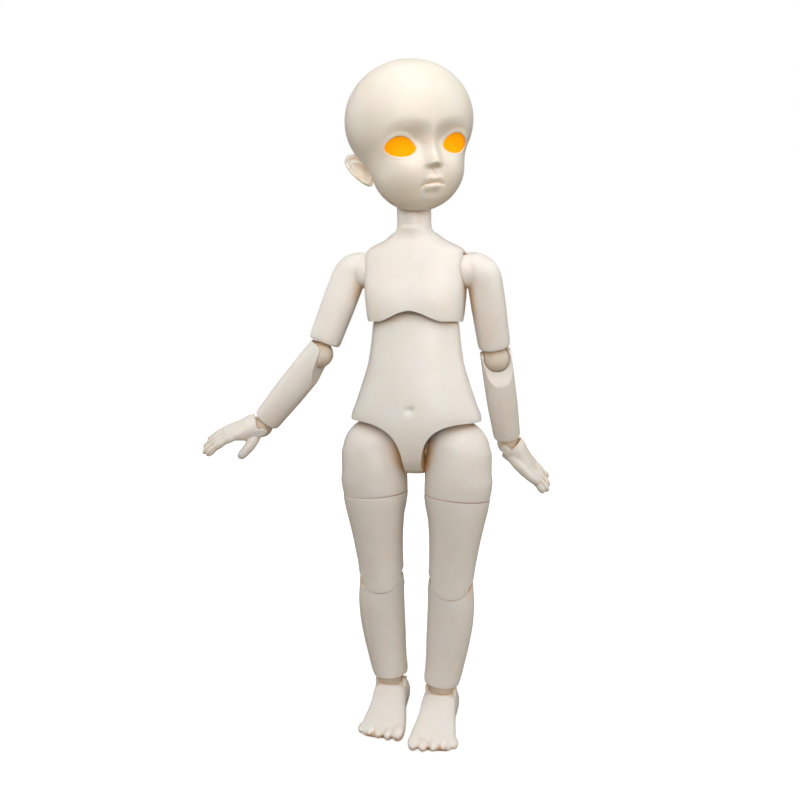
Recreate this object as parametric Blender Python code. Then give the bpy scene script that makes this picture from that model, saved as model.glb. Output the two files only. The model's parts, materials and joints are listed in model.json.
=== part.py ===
"""Ball-jointed doll, about 282 mm tall, standing on flat feet with its head turned and tilted.

Two hollow shells, front and back, make the chest and two make the belly. They trap the round pegs
of the joint balls between them. Every limb piece ends in a seat round a ball, held by a pin through
that ball, so each joint bends on its pin and turns on its peg.

The doll is laid out straight, measured up from the soles, and posed by turning the empties on its
joint axes. It faces -Y, so its own left is +X. Lengths are in metres. Last, the whole doll is moved
so that the middle of its space on the floor is at the origin.
"""
import math

import bmesh
import bpy
import numpy as np
from mathutils import Matrix, Vector

MM = 0.001

# Clearances and small common sizes
GAP = 0.3 * MM
RUNNING = 0.25 * MM
PIN_RADIUS = 0.9 * MM
OVERRUN = 2 * MM
CUT_DEPTH = 40 * MM
PIN_COVER = 2 * MM
PIN_EAR_RADIUS = 1.8 * MM

# Slots that let a limb spread: degrees from level that a peg sweeps, below and above
SLOT_LOW = -8
ARM_SLOT_HIGH = 84
THIGH_SLOT_HIGH = 48

# Legs, from the sole up
ANKLE_HEIGHT = 12.8 * MM
SHIN_LENGTH = 42.8 * MM
THIGH_LENGTH = 60 * MM
TWIST_DROP = 19 * MM
HIP_SPACING = 38 * MM
LEG_RADIUS = 14 * MM
HIP_DOME_RADIUS = 13.6 * MM
KNEE_WIDTH = 15.2 * MM
KNEE_RADIUS = 9.3 * MM
KNEE_EAR_RADIUS = 4.4 * MM
ANKLE_BALL_RADIUS = 5 * MM
HIP_BALL_RADIUS = 5.5 * MM
HIP_PEG_RADIUS = 2.4 * MM
LEG_PEG_RADIUS = 2 * MM
LEG_PEG_LENGTH = 12 * MM
TWIST_PEG_RADIUS = 4 * MM
TWIST_PEG_LENGTH = 9 * MM

# Feet
FOOT_LENGTH = 38.8 * MM
FOOT_WIDTH = 19.6 * MM
FOOT_HEEL = 10 * MM
TOE_RADIUS = 1.9 * MM

# Belly shells
BELLY_HEIGHT = 70.8 * MM
CROTCH_DROP = 9.3 * MM
HIP_WIDTH = 57.6 * MM
BELLY_DEPTH = 29 * MM
WEB_WIDTH = 7.6 * MM
OPENING_RISE = 13.2 * MM
OPENING_SQUARENESS = 2.9
WALL = 1.5 * MM

# Waist and chest shells
WAIST_RISE = 7.5 * MM
WAIST_BALL_RADIUS = 6.5 * MM
WAIST_PEG_LENGTH = 12 * MM
WAIST_PEG_RADIUS = 2.6 * MM
CHEST_DROP = 13 * MM
CHEST_HEIGHT = 38 * MM
CHEST_WIDTH = 44 * MM
CHEST_DEPTH = 27 * MM
CHEST_CAVITY = 17.5 * MM
ARCH_RISE = 4.8 * MM
RIB_THICKNESS = 2 * MM
NECK_RADIUS = 7.4 * MM
NECK_LENGTH = 12.8 * MM
NECK_FORWARD = 4 * MM

# Neck joint
NECK_BALL_RADIUS = 5.6 * MM
NECK_BALL_RISE = 5.4 * MM
NECK_PEG_RADIUS = 2.6 * MM
NECK_PEG_LENGTH = 14 * MM
RING_THICKNESS = 2.2 * MM
RING_HEIGHT = 4 * MM
NECK_TUBE_WALL = 2.2 * MM
NECK_TUBE_DEPTH = 5.1 * MM

# Head
HEAD_WIDTH = 56 * MM
HEAD_HEIGHT = 65 * MM
HEAD_DEPTH = 56 * MM
HEAD_WALL = 2.4 * MM
CHIN_DROP = 9.7 * MM
HEAD_FORWARD = 5.2 * MM
EAR_RADIUS = 5 * MM
EYE_SPACING = 24 * MM
EYE_WIDTH = 12.3 * MM
EYE_HEIGHT = 9 * MM
EYE_RISE = 16 * MM
BLANK_THICKNESS = 1.6 * MM
MAGNET_RADIUS = 2.5 * MM
MAGNET_THICKNESS = 1.5 * MM

# Shoulders and arms
SHOULDER_SPACING = 43.6 * MM
SHOULDER_RISE = 9.2 * MM
SHOULDER_BALL_RADIUS = 8.8 * MM
HUB_BALL_RADIUS = 4.6 * MM
AXLE_RADIUS = 2.2 * MM
AXLE_LENGTH = 11.8 * MM
ARM_OFFSET = 7.7 * MM
ARM_RADIUS = 7.5 * MM
UPPER_ARM_LENGTH = 42.2 * MM
FOREARM_LENGTH = 43 * MM
ELBOW_BALL_RADIUS = 6 * MM
WRIST_BALL_RADIUS = 5 * MM
ARM_PEG_RADIUS = 1.8 * MM
ARM_PEG_LENGTH = 11 * MM
WRIST_PEG_RADIUS = 1.5 * MM

# Hands
PALM_LENGTH = 13 * MM
PALM_WIDTH = 13 * MM
PALM_THICKNESS = 6 * MM
FINGER_LENGTH = 15 * MM
FINGER_RADIUS = 1.6 * MM

# Pose, in degrees, and how far back of straight out the shoulder axles point
LEG_LEAN = 4.1
LEG_TWIST = 10.5
FOOT_TURN = 3
STRIDE = 1.3
HEAD_TURN = 32
HEAD_TILT = 8
AXLE_AIM = 6
ARM_POSES = {
    "left": {"swing": 18.5, "spread": 7.5, "swivel": 12, "bend": -2.3, "turn": -27.5, "hand": 38, "curl": 12},
    "right": {"swing": -5.5, "spread": 20.1, "swivel": 91, "bend": -19.5, "turn": -48, "hand": 45,
              "curl": 40},
}

# Counts of sides
LIMB_SIDES = 16
TORSO_SIDES = 24
HEAD_SIDES = 22
HEAD_RINGS = 12
BALL_SIDES = 10
BALL_RINGS = 5
SEAT_SIDES = 12
SEAT_RINGS = 6
PIN_SIDES = 8
FINGER_SIDES = 6
SIDE_PHASE = 0.23

# Places that follow from the sizes above
LEG_DROP = (SHIN_LENGTH + THIGH_LENGTH) * math.cos(math.radians(LEG_LEAN)) * math.cos(math.radians(STRIDE))
HIP_Z = ANKLE_HEIGHT + LEG_DROP
BELLY_BOTTOM = HIP_Z - CROTCH_DROP
BELLY_TOP = BELLY_BOTTOM + BELLY_HEIGHT
WAIST_Z = BELLY_TOP + WAIST_RISE
CHEST_BOTTOM = WAIST_Z - CHEST_DROP
CHEST_TOP = CHEST_BOTTOM + CHEST_HEIGHT
SHOULDER_Z = WAIST_Z + SHOULDER_RISE
NECK_TOP = CHEST_TOP + NECK_LENGTH
NECK_BALL_Z = NECK_TOP + NECK_BALL_RISE
EAR_SIDE = KNEE_WIDTH / 2

# Shapes of the soft outlines. Each row is a height share, then the half-width, front and back
# shares, then how far the section's middle moves, if it does: outward for a leg, forward for the
# chest and neck. A foot's rows run from heel to toes, with shares of half-width and height.
BELLY_SHARES = (
    (0.0, 0.20, 0.42, 0.44),
    (0.03, 0.34, 0.66, 0.70),
    (0.10, 0.55, 0.90, 0.98),
    (0.20, 0.80, 1.03, 1.12),
    (0.285, 0.98, 1.06, 1.13),
    (0.335, 1.0, 1.06, 1.08),
    (0.42, 0.93, 1.03, 0.98),
    (0.53, 0.84, 0.96, 0.86),
    (0.67, 0.735, 0.86, 0.76),
    (0.80, 0.685, 0.79, 0.71),
    (0.89, 0.665, 0.73, 0.63),
    (0.912, 0.60, 0.66, 0.56),
    (0.945, 0.54, 0.60, 0.50),
    (0.98, 0.44, 0.50, 0.44),
    (1.0, 0.26, 0.30, 0.26),
)
CHEST_SHARES = (
    (0.0, 0.93, 1.03, 0.86, 0),
    (0.05, 0.95, 1.06, 0.90, 0),
    (0.20, 0.98, 1.09, 0.93, 0),
    (0.35, 1.0, 1.06, 0.94, 0),
    (0.50, 1.01, 0.96, 0.93, 0),
    (0.65, 1.01, 0.86, 0.90, 0),
    (0.80, 0.99, 0.78, 0.84, 0),
    (0.86, 0.94, 0.73, 0.80, 0.01),
    (0.90, 0.79, 0.68, 0.76, 0.03),
    (0.95, 0.58, 0.62, 0.68, 0.08),
    (1.0, 0.44, 0.58, 0.60, 0.16),
)
NECK_SHARES = ((0.12, 1.07, 0.66), (0.28, 1.0, 0.75), (1.0, 1.0, 1.0))
THIGH_SHARES = (
    (0.42, 1.03, 1.0, 1.02, 0.03),
    (0.66, 1.05, 0.99, 1.04, 0.06),
    (1.0, 1.02, 0.95, 1.0, 0.05),
)
LOWER_THIGH_SHARES = (
    (0.0, 1.02, 0.95, 1.0, 0.05),
    (0.12, 0.98, 0.93, 0.96, 0.06),
    (0.28, 0.88, 0.87, 0.88, 0.08),
    (0.55, 0.77, 0.77, 0.77, 0.07),
    (0.82, 0.71, 0.71, 0.70, 0.05),
    (1.1, 0.70, 0.69, 0.67, 0.05),
)
KNEE_BACK_SHARES = ((0.33, 0.82), (0.98, 1.19), (2.0, 1.75), (2.0, -1.0))
SHIN_SHARES = (
    (-0.16, 0.66, 0.66, 0.66, 0.05),
    (0.0, 0.71, 0.70, 0.68, 0.07),
    (0.14, 0.72, 0.71, 0.78, 0.11),
    (0.30, 0.71, 0.68, 0.84, 0.12),
    (0.50, 0.67, 0.63, 0.80, 0.10),
    (0.76, 0.59, 0.55, 0.64, 0.05),
    (0.88, 0.56, 0.53, 0.55, 0.01),
    (0.92, 0.53, 0.50, 0.52, 0.0),
)
FOOT_SHARES = (
    (0.0, 0.20, 0.30),
    (0.03, 0.30, 0.52),
    (0.09, 0.37, 0.86),
    (0.17, 0.385, 1.08),
    (0.30, 0.385, 1.08),
    (0.40, 0.38, 1.08),
    (0.46, 0.39, 0.86),
    (0.57, 0.42, 0.64),
    (0.72, 0.47, 0.48),
    (0.86, 0.49, 0.36),
    (0.94, 0.45, 0.30),
)
FOOT_RIM_SHARES = ((-2.0, -0.02), (-0.42, 0.0), (-0.2, 0.02), (0.2, 0.02), (0.42, -0.03), (2.0, -0.12))
TOE_SIZE_SHARES = (1.25, 0.95, 0.9, 0.85, 0.8)
UPPER_ARM_SHARES = (
    (0.168, 0.30, 0.40),
    (0.125, 0.62, 0.50),
    (0.05, 0.85, 0.76),
    (-0.035, 0.95, 0.90),
    (-0.15, 1.01, 0.99),
    (-0.40, 1.01, 1.0),
    (-0.65, 0.98, 1.0),
    (-0.80, 0.96, 1.0),
    (-0.848, 0.93, 1.0),
    (-0.866, 0.86, 1.0),
)
FOREARM_SHARES = (
    (0.10, 0.90),
    (0.0, 0.92),
    (-0.25, 0.94),
    (-0.50, 0.93),
    (-0.75, 0.87),
    (-0.90, 0.83),
    (-0.915, 0.78),
)
SCOOP_SHARES = (
    (-1.3, -1.9), (-1.0, -1.62), (-0.62, -0.95), (-0.36, -0.1),
    (-0.2, 0.36), (0.16, 0.48), (0.6, 0.4), (1.0, 0.34),
)
PALM_SHARES = (
    (0.45, 0.62, 0.92),
    (0.78, 0.52, 1.02),
    (1.0, 0.36, 0.96),
)
EYE_SLOPE_SHARE = 0.04
FINGER_PLACE_SHARES = (-0.36, -0.12, 0.12, 0.36)
FINGER_REACH_SHARES = (0.86, 1.0, 0.96, 0.78)


def clear_scene():
    """Empties the scene of the objects that Blender opened with."""
    for item in list(bpy.data.objects):
        bpy.data.objects.remove(item, do_unlink=True)


def finish(name, colour, roughness, metallic=0.0):
    """A plain surface for one sub-part."""
    material = bpy.data.materials.new(name)
    material.use_nodes = True
    shader = material.node_tree.nodes["Principled BSDF"]
    shader.inputs["Base Color"].default_value = (*colour, 1)
    shader.inputs["Roughness"].default_value = roughness
    shader.inputs["Metallic"].default_value = metallic
    return material


FINISHES = {
    "plastic": ((0.84, 0.80, 0.73), 0.42, 0.0),
    "joint": ((0.74, 0.68, 0.58), 0.45, 0.0),
    "orange": ((0.87, 0.35, 0.0), 0.6, 0.0),
    "steel": ((0.62, 0.62, 0.63), 0.3, 1.0),
}


def mesh_object(name, vertices, faces, look, parent=None):
    """Puts one closed body into the scene, its faces turned outward."""
    mesh = bpy.data.meshes.new(name)
    mesh.from_pydata([tuple(point) for point in vertices], [], faces)
    shape = bmesh.new()
    shape.from_mesh(mesh)
    bmesh.ops.triangulate(shape, faces=shape.faces)
    bmesh.ops.recalc_face_normals(shape, faces=shape.faces)
    shape.to_mesh(mesh)
    shape.free()
    mesh.shade_smooth()
    mesh.set_sharp_from_angle(angle=math.radians(40))
    item = bpy.data.objects.new(name, mesh)
    bpy.context.collection.objects.link(item)
    if look:
        mesh.materials.append(finish(name, *FINISHES[look]))
    else:
        item.hide_render = True
        item.display_type = "WIRE"
    item.parent = parent
    return item


def boolean(target, tool, operation="DIFFERENCE", solver="EXACT"):
    """Cuts the tool from the target, or joins it on."""
    tool.hide_render = True
    tool.display_type = "WIRE"
    step = target.modifiers.new(tool.name, "BOOLEAN")
    step.operation = operation
    step.solver = solver
    step.object = tool


def ring_body(rings):
    """Vertices and faces of a closed body through rings of equal counts of points."""
    rings = np.asarray(rings)
    count, sides = rings.shape[:2]
    faces = [tuple(range(sides)), tuple((count - 1) * sides + j for j in range(sides))]
    for i in range(count - 1):
        for j in range(sides):
            k = (j + 1) % sides
            faces.append((i * sides + j, i * sides + k, (i + 1) * sides + k, (i + 1) * sides + j))
    return rings.reshape(-1, 3), faces


def section(half_width, front, back, sides, squareness=2.0, phase=0.0):
    """Points round one cross-section, as a superellipse with its own front and back depth."""
    angle = (np.arange(sides) / sides + phase / sides) * 2 * math.pi
    cosine = np.cos(angle)
    sine = np.sin(angle)
    power = 2 / squareness
    depth = np.where(sine > 0, back, front)
    x = half_width * np.sign(cosine) * np.abs(cosine) ** power
    y = depth * np.sign(sine) * np.abs(sine) ** power
    return np.stack([x, y], axis=1)


def loft_rings(rows, sides, squareness=2.0, phase=0.0):
    """Rings from rows of height, half-width, front, back and the middle's x and y."""
    rings = []
    for height, half_width, front, back, middle_x, middle_y in rows:
        flat = section(half_width, front, back, sides, squareness, phase)
        ring = np.column_stack([flat[:, 0] + middle_x, flat[:, 1] + middle_y, np.full(sides, height)])
        rings.append(ring)
    return rings


def loft(name, rows, look, parent, sides=LIMB_SIDES, squareness=2.0):
    """A solid limb or shell form from rows, lowest or highest first."""
    vertices, faces = ring_body(loft_rings(rows, sides, squareness))
    return mesh_object(name, vertices, faces, look, parent)


def oriented(vertices, axis):
    """Turns points laid out along Z so that they lie along the given axis."""
    turn = Vector((0, 0, 1)).rotation_difference(Vector(axis)).to_matrix()
    return vertices @ np.array(turn).T


def rod(name, radius, start, end, look=None, parent=None, sides=PIN_SIDES):
    """A round bar between two points, also used as a drill."""
    start = np.array(start)
    along = np.array(end) - start
    length = float(np.linalg.norm(along))
    rows = [(0, radius, radius, radius, 0, 0), (length, radius, radius, radius, 0, 0)]
    vertices, faces = ring_body(loft_rings(rows, sides, phase=SIDE_PHASE))
    return mesh_object(name, oriented(vertices, along / length) + start, faces, look, parent)


def ball_rings(radius, start_angle, end_angle, rings, sides, stretch=1.0):
    """Rings over part of a sphere, from one angle above the equator to another, along Z."""
    rows = []
    for angle in np.linspace(math.radians(start_angle), math.radians(end_angle), rings):
        around = radius * math.cos(angle)
        rows.append((radius * stretch * math.sin(angle), around, around, around, 0, 0))
    return loft_rings(rows, sides, phase=SIDE_PHASE)


def ball(name, radius, parent=None, axis=(0, 0, 1), centre=(0, 0, 0), stretch=1.0, sides=BALL_SIDES,
         rings=BALL_RINGS + 1):
    """A sphere, or with stretch an egg along its axis. Used as the cutter for a ball's seat."""
    vertices, faces = ring_body(ball_rings(radius, -78, 78, rings, sides, stretch))
    return mesh_object(name, oriented(vertices, axis) + np.array(centre), faces, None, parent)


def pegged_ball(name, radius, peg_radius, peg_length, parent, axis=(0, 0, 1), sides=BALL_SIDES):
    """A joint ball with the round peg that it turns on, as one piece."""
    neck = math.degrees(math.acos(peg_radius / radius))
    rings = ball_rings(radius, -80, neck, BALL_RINGS, sides)
    peg_end = radius + peg_length
    rings += loft_rings([(peg_end, peg_radius, peg_radius, peg_radius, 0, 0)], sides)
    vertices, faces = ring_body(rings)
    return mesh_object(name, oriented(vertices, axis), faces, "joint", parent)


def prism(name, outline, plane, half_depth, parent=None, middle=0):
    """A flat outline drawn in the named plane and pushed through along the third axis."""
    order = {"xz": (0, 2, 1), "yz": (1, 2, 0), "xy": (0, 1, 2)}[plane]
    layers = []
    for depth in (middle - half_depth, middle + half_depth):
        layer = np.zeros((len(outline), 3))
        layer[:, order[0]] = [point[0] for point in outline]
        layer[:, order[1]] = [point[1] for point in outline]
        layer[:, order[2]] = depth
        layers.append(layer)
    vertices, faces = ring_body(layers)
    return mesh_object(name, vertices, faces, None, parent)


def box(name, low, high, parent=None):
    """A rectangular cutter between two corners."""
    outline = [(low[0], low[1]), (high[0], low[1]), (high[0], high[1]), (low[0], high[1])]
    return prism(name, outline, "xy", (high[2] - low[2]) / 2, parent, (high[2] + low[2]) / 2)


def pin_ears(target, plane, drop, half_depth):
    """Adds the round-topped ears that hold the ends of a pin, standing on the piece below the pin."""
    outline = [(-PIN_EAR_RADIUS, -drop)]
    for angle in np.linspace(math.pi, 0, 7):
        outline.append((PIN_EAR_RADIUS * math.cos(angle), PIN_EAR_RADIUS * math.sin(angle)))
    outline.append((PIN_EAR_RADIUS, -drop))
    boolean(target, prism(target.name + "_ears", outline, plane, half_depth, target.parent), "UNION")


def drill(target, radius, start, end, sides=PIN_SIDES, frame=None):
    """A round hole through a piece, in the piece's own frame or in another."""
    tool = rod(target.name + "_hole_" + str(len(target.modifiers)), radius, start, end,
               None, frame or target.parent, sides)
    boolean(target, tool)


def seat(target, radius, **shape):
    """A round hollow that a joint ball turns in, its flats outside the wanted radius."""
    flats = math.cos(math.pi / SEAT_SIDES) * math.cos(math.radians(78 / SEAT_RINGS))
    tool = ball(target.name + "_seat_" + str(len(target.modifiers)), radius / flats, target.parent,
                sides=SEAT_SIDES, rings=SEAT_RINGS + 1, **shape)
    boolean(target, tool)


class Skeleton:
    """The empties on the joint axes, each with its place in the straight doll."""

    def __init__(self):
        self.places = {}
        self.empties = {}

    def joint(self, name, place, parent=None, axis="Z", degrees=0.0):
        """Adds an empty at a place of the straight doll, turned about the joint's axis."""
        empty = bpy.data.objects.new(name + "_axis", None)
        empty.empty_display_size = ANKLE_HEIGHT
        bpy.context.collection.objects.link(empty)
        offset = Vector(place)
        if parent:
            empty.parent = self.empties[parent]
            offset = offset - self.places[parent]
        turn = Matrix.Rotation(math.radians(degrees), 4, axis)
        empty.matrix_basis = Matrix.Translation(offset) @ turn
        self.places[name] = Vector(place)
        self.empties[name] = empty
        return empty


def belly_rows(inset=0.0):
    """The belly's sections from crotch to top, drawn in by the wall for the hollow."""
    rows = []
    for height, width, front, back in BELLY_SHARES:
        rows.append((
            BELLY_BOTTOM + inset + height * (BELLY_HEIGHT - 2 * inset),
            max(width * HIP_WIDTH / 2 - inset, inset),
            max(front * BELLY_DEPTH / 2 - inset, inset),
            max(back * BELLY_DEPTH / 2 - inset, inset),
            0, 0,
        ))
    return rows


def leg_opening(name, side, empty):
    """The arch over one thigh, a squared quarter ellipse from the web out to the hip's corner."""
    inner = WEB_WIDTH / 2
    outer = HIP_WIDTH / 2
    low = BELLY_BOTTOM - OVERRUN
    top = HIP_Z + OPENING_RISE
    outline = [(side * inner, low)]
    power = 2 / OPENING_SQUARENESS
    for angle in np.linspace(0, math.pi / 2, 11)[:-1]:
        x = outer - (outer - inner) * math.cos(angle) ** power
        z = BELLY_BOTTOM + (top - BELLY_BOTTOM) * math.sin(angle) ** power
        outline.append((side * x, z))
    outline.append((side * outer, top))
    outline.append((side * (outer + OVERRUN), top + GAP))
    outline.append((side * (outer + OVERRUN), low))
    return prism(name, outline, "xz", CUT_DEPTH, empty)


def belly_half(name, side_y, empty):
    """One moulded half of the belly: a shell with the web that holds the hip pegs."""
    half = loft(name, belly_rows(), "plastic", empty, TORSO_SIDES, 2.3)
    hollow = loft(name + "_hollow", belly_rows(WALL), None, empty, TORSO_SIDES, 2.3)
    web = box(name + "_web", (-WEB_WIDTH / 2, -CUT_DEPTH, BELLY_BOTTOM - OVERRUN),
              (WEB_WIDTH / 2, CUT_DEPTH, HIP_Z + OPENING_RISE / 2), empty)
    collar_low = BELLY_TOP - WAIST_PEG_LENGTH
    collar_radius = WAIST_PEG_RADIUS + GAP + WALL
    collar = rod(name + "_collar", collar_radius, (0, 0, collar_low), (0, 0, BELLY_TOP), None, empty,
                 BALL_SIDES)
    boolean(hollow, web)
    boolean(hollow, collar)
    boolean(half, hollow)
    for side, word in ((1, "left"), (-1, "right")):
        boolean(half, leg_opening(name + "_" + word + "_opening", side, empty))
        start = side * hip_peg_start()
        drill(half, HIP_PEG_RADIUS + GAP, (start - side * GAP, 0, HIP_Z),
              (side * (WEB_WIDTH / 2 + OVERRUN), 0, HIP_Z), BALL_SIDES)
    drill(half, WAIST_PEG_RADIUS + GAP, (0, 0, WAIST_Z - WAIST_BALL_RADIUS - WAIST_PEG_LENGTH - GAP),
          (0, 0, WAIST_Z), BALL_SIDES)
    near = side_y * GAP / 2
    boolean(half, box(name + "_split", (-CUT_DEPTH, min(near, -side_y * CUT_DEPTH), 0),
                      (CUT_DEPTH, max(near, -side_y * CUT_DEPTH), 2 * HIP_Z), empty))
    return half


def hip_peg_start():
    """Where each hip peg ends inside the web, clear of the one from the other side."""
    return GAP + WALL / 3


def chest_rows(inset=0.0):
    """The chest's sections from its lower edge to the neck, drawn in by the wall for the hollow."""
    rows = []
    for height, width, front, back, forward in CHEST_SHARES:
        rows.append((
            CHEST_BOTTOM + height * CHEST_HEIGHT,
            width * CHEST_WIDTH / 2 - inset,
            front * CHEST_DEPTH / 2 - inset,
            back * CHEST_DEPTH / 2 - inset,
            0, -forward * CHEST_DEPTH / 2,
        ))
    return rows


def neck_rows():
    """The neck's round sections above the shoulders, set forward of the chest's middle."""
    rows = []
    for height, width, forward in NECK_SHARES:
        radius = width * NECK_RADIUS
        rows.append((CHEST_TOP + height * NECK_LENGTH, radius, radius, radius, 0, -forward * NECK_FORWARD))
    return rows


def chest_half(name, side_y, empty):
    """One moulded half of the chest with its half of the neck, ribs and axle seats."""
    half = loft(name, chest_rows() + neck_rows(), "plastic", empty, TORSO_SIDES, 2.25)
    cavity_top = CHEST_BOTTOM + CHEST_CAVITY
    hollow_rows = [(CHEST_BOTTOM - OVERRUN, *chest_rows(WALL)[0][1:])]
    hollow_rows += [row for row in chest_rows(WALL) if row[0] < cavity_top]
    last = hollow_rows[-1]
    hollow_rows.append((cavity_top, last[1] - WALL, last[2] - WALL, last[3] - WALL, 0, 0))
    hollow = loft(name + "_hollow", hollow_rows, None, empty, TORSO_SIDES, 2.25)
    rib_inner = WAIST_BALL_RADIUS + GAP
    for side, word in ((1, "left"), (-1, "right")):
        x = sorted((side * rib_inner, side * (rib_inner + RIB_THICKNESS)))
        rib = box(name + "_" + word + "_rib", (x[0], -CUT_DEPTH, WAIST_Z - 2 * PIN_RADIUS - WALL),
                  (x[1], CUT_DEPTH, cavity_top + OVERRUN), empty)
        boolean(hollow, rib)
    boolean(half, hollow)
    near = side_y * GAP / 2
    boolean(half, box(name + "_split", (-CUT_DEPTH, min(near, -side_y * CUT_DEPTH), CHEST_BOTTOM - CUT_DEPTH),
                      (CUT_DEPTH, max(near, -side_y * CUT_DEPTH), NECK_TOP + CUT_DEPTH), empty))
    drill(half, PIN_RADIUS + RUNNING, (-rib_inner - RIB_THICKNESS - GAP, 0, WAIST_Z),
          (rib_inner + RIB_THICKNESS + GAP, 0, WAIST_Z))
    seat(half, WAIST_BALL_RADIUS + GAP, axis=(1, 0, 0), centre=(0, 0, WAIST_Z))
    for side in (1, -1):
        wall = side * SHOULDER_SPACING / 2
        seat(half, SHOULDER_BALL_RADIUS + GAP, axis=(side, 0, 0), centre=(wall, 0, SHOULDER_Z))
        reach = HUB_BALL_RADIUS + AXLE_LENGTH + GAP
        aim = math.radians(AXLE_AIM)
        inner = (wall - side * reach * math.cos(aim), -reach * math.sin(aim), SHOULDER_Z)
        drill(half, AXLE_RADIUS + GAP, inner, (wall, 0, SHOULDER_Z), BALL_SIDES)
    drill(half, NECK_PEG_RADIUS + GAP,
          (0, -NECK_FORWARD, NECK_BALL_Z - NECK_BALL_RADIUS - NECK_PEG_LENGTH - GAP),
          (0, -NECK_FORWARD, NECK_TOP + OVERRUN), BALL_SIDES)
    seat(half, NECK_BALL_RADIUS + GAP, centre=(0, -NECK_FORWARD, NECK_BALL_Z))
    if side_y < 0:
        boolean(half, chest_arch(name + "_arch", empty))
    # The exact solver leaves open edges where the seats graze the ribs, so all the cuts change solver
    for step in half.modifiers:
        step.solver = "MANIFOLD"
    return half


def chest_arch(name, empty):
    """The cutter under the ribcage: a raised arch between two lobes."""
    reach = CHEST_WIDTH * 0.36
    outline = [(-reach, CHEST_BOTTOM - OVERRUN)]
    for share in np.linspace(-1, 1, 13):
        rise = ARCH_RISE * (0.5 + 0.5 * math.cos(math.pi * share))
        outline.append((share * reach, CHEST_BOTTOM - GAP + rise))
    outline.append((reach, CHEST_BOTTOM - OVERRUN))
    return prism(name, outline, "xz", CUT_DEPTH / 2, empty, -CUT_DEPTH / 2)


# Soft bodies that the head blends from: centre and half-sizes as shares of half the head's width,
# depth and height, measured from the head's middle. The eye hollows are taken away.
HEAD_BODY_SHARES = (
    ((0.0, 0.0, 0.206), (1.0, 1.0, 0.794)),
    ((0.0, -0.04, -0.44), (0.79, 0.70, 0.55)),
)
FACE_BUMP_SHARES = (
    ((0.0, -0.69, -0.45), (0.09, 0.12, 0.115)),
    ((0.0, -0.63, -0.70), (0.20, 0.12, 0.11)),
    ((0.0, -0.47, -0.88), (0.20, 0.16, 0.11)),
)
EYE_HOLLOW_SHARES = ((0.43, -0.90, -0.23), (0.34, 0.30, 0.20))
HEAD_BLEND_SHARE = 0.16


def head_middle():
    """The middle of the skull in the head's own frame, whose origin is the neck joint."""
    return np.array([0, -HEAD_FORWARD, HEAD_HEIGHT / 2 - CHIN_DROP])


def outside_by(spot, centre, size):
    """Roughly how far points lie outside one soft body."""
    size = np.array(size)
    return (np.linalg.norm((spot - np.array(centre)) / size, axis=-1) - 1) * size.min()


def blended(first, second, blend):
    """The smaller of two distances, rounded over where they are nearly the same."""
    mix = np.clip(0.5 + 0.5 * (first - second) / blend, 0, 1)
    return first * (1 - mix) + second * mix - blend * mix * (1 - mix)


def head_distance(points):
    """Roughly how far points lie outside the head, in shares of its half-size."""
    half = np.array([HEAD_WIDTH, HEAD_DEPTH, HEAD_HEIGHT]) / 2
    spot = (points - head_middle()) / half
    field = outside_by(spot, *HEAD_BODY_SHARES[0])
    field = blended(field, outside_by(spot, *HEAD_BODY_SHARES[1]), HEAD_BLEND_SHARE)
    even = np.stack([np.abs(spot[..., 0]), spot[..., 1], spot[..., 2]], axis=-1)
    field = -blended(-field, outside_by(even, *EYE_HOLLOW_SHARES), HEAD_BLEND_SHARE)
    for centre, size in FACE_BUMP_SHARES:
        field = blended(field, outside_by(spot, centre, size), HEAD_BLEND_SHARE / 2)
    return field


def head_rings(inset, rings, sides):
    """Rings round the head, each point found along a ray from the middle of the skull."""
    start = head_middle() - np.array([0, 0, HEAD_HEIGHT * 0.06])
    lift = np.linspace(-math.pi / 2, math.pi / 2, rings + 2)[1:-1][:, None]
    round_angle = (np.arange(sides) / sides * 2 * math.pi)[None, :]
    ray = np.stack([
        np.cos(lift) * np.cos(round_angle),
        np.cos(lift) * np.sin(round_angle),
        np.sin(lift) * np.ones_like(round_angle),
    ], axis=-1)
    near = np.zeros(ray.shape[:2])
    far = np.full(ray.shape[:2], HEAD_HEIGHT)
    for _ in range(40):
        middle = (near + far) / 2
        outside = head_distance(start + ray * middle[..., None]) > 0
        far = np.where(outside, middle, far)
        near = np.where(outside, near, middle)
    return start + ray * (near - inset)[..., None]


def eye_outline(side):
    """The almond outline of an eye opening, in the head's x and z."""
    outline = []
    for angle in np.arange(14) / 14 * 2 * math.pi:
        across = math.cos(angle)
        up = math.sin(angle)
        height = (1.06 if up > 0 else 0.94) * (1 - 0.16 * abs(across) ** 3)
        x = EYE_SPACING / 2 + across * EYE_WIDTH / 2
        z = EYE_RISE + up * height * EYE_HEIGHT / 2 + across * EYE_HEIGHT * EYE_SLOPE_SHARE
        outline.append((side * x, z))
    return outline


def seam_frame():
    """A point on the plane where the cap meets the head, and the plane's normal, pointing back."""
    middle = head_middle()
    tilt = math.radians(14)
    return middle + np.array([0, HEAD_DEPTH * 0.27, 0]), np.array([0, math.cos(tilt), math.sin(tilt)])


def seam_block(name, empty, keep_back):
    """The half space on one side of the cap's seam, as a big block."""
    point, normal = seam_frame()
    sign = -1 if keep_back else 1
    block = box(name, (-HEAD_HEIGHT,) * 3, (HEAD_HEIGHT,) * 3, empty)
    shift = point + normal * sign * (HEAD_HEIGHT - GAP / 2)
    turn = Vector((0, 0, 1)).rotation_difference(Vector(normal)).to_matrix().to_4x4()
    block.matrix_basis = Matrix.Translation(Vector(shift)) @ turn
    return block


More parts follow.
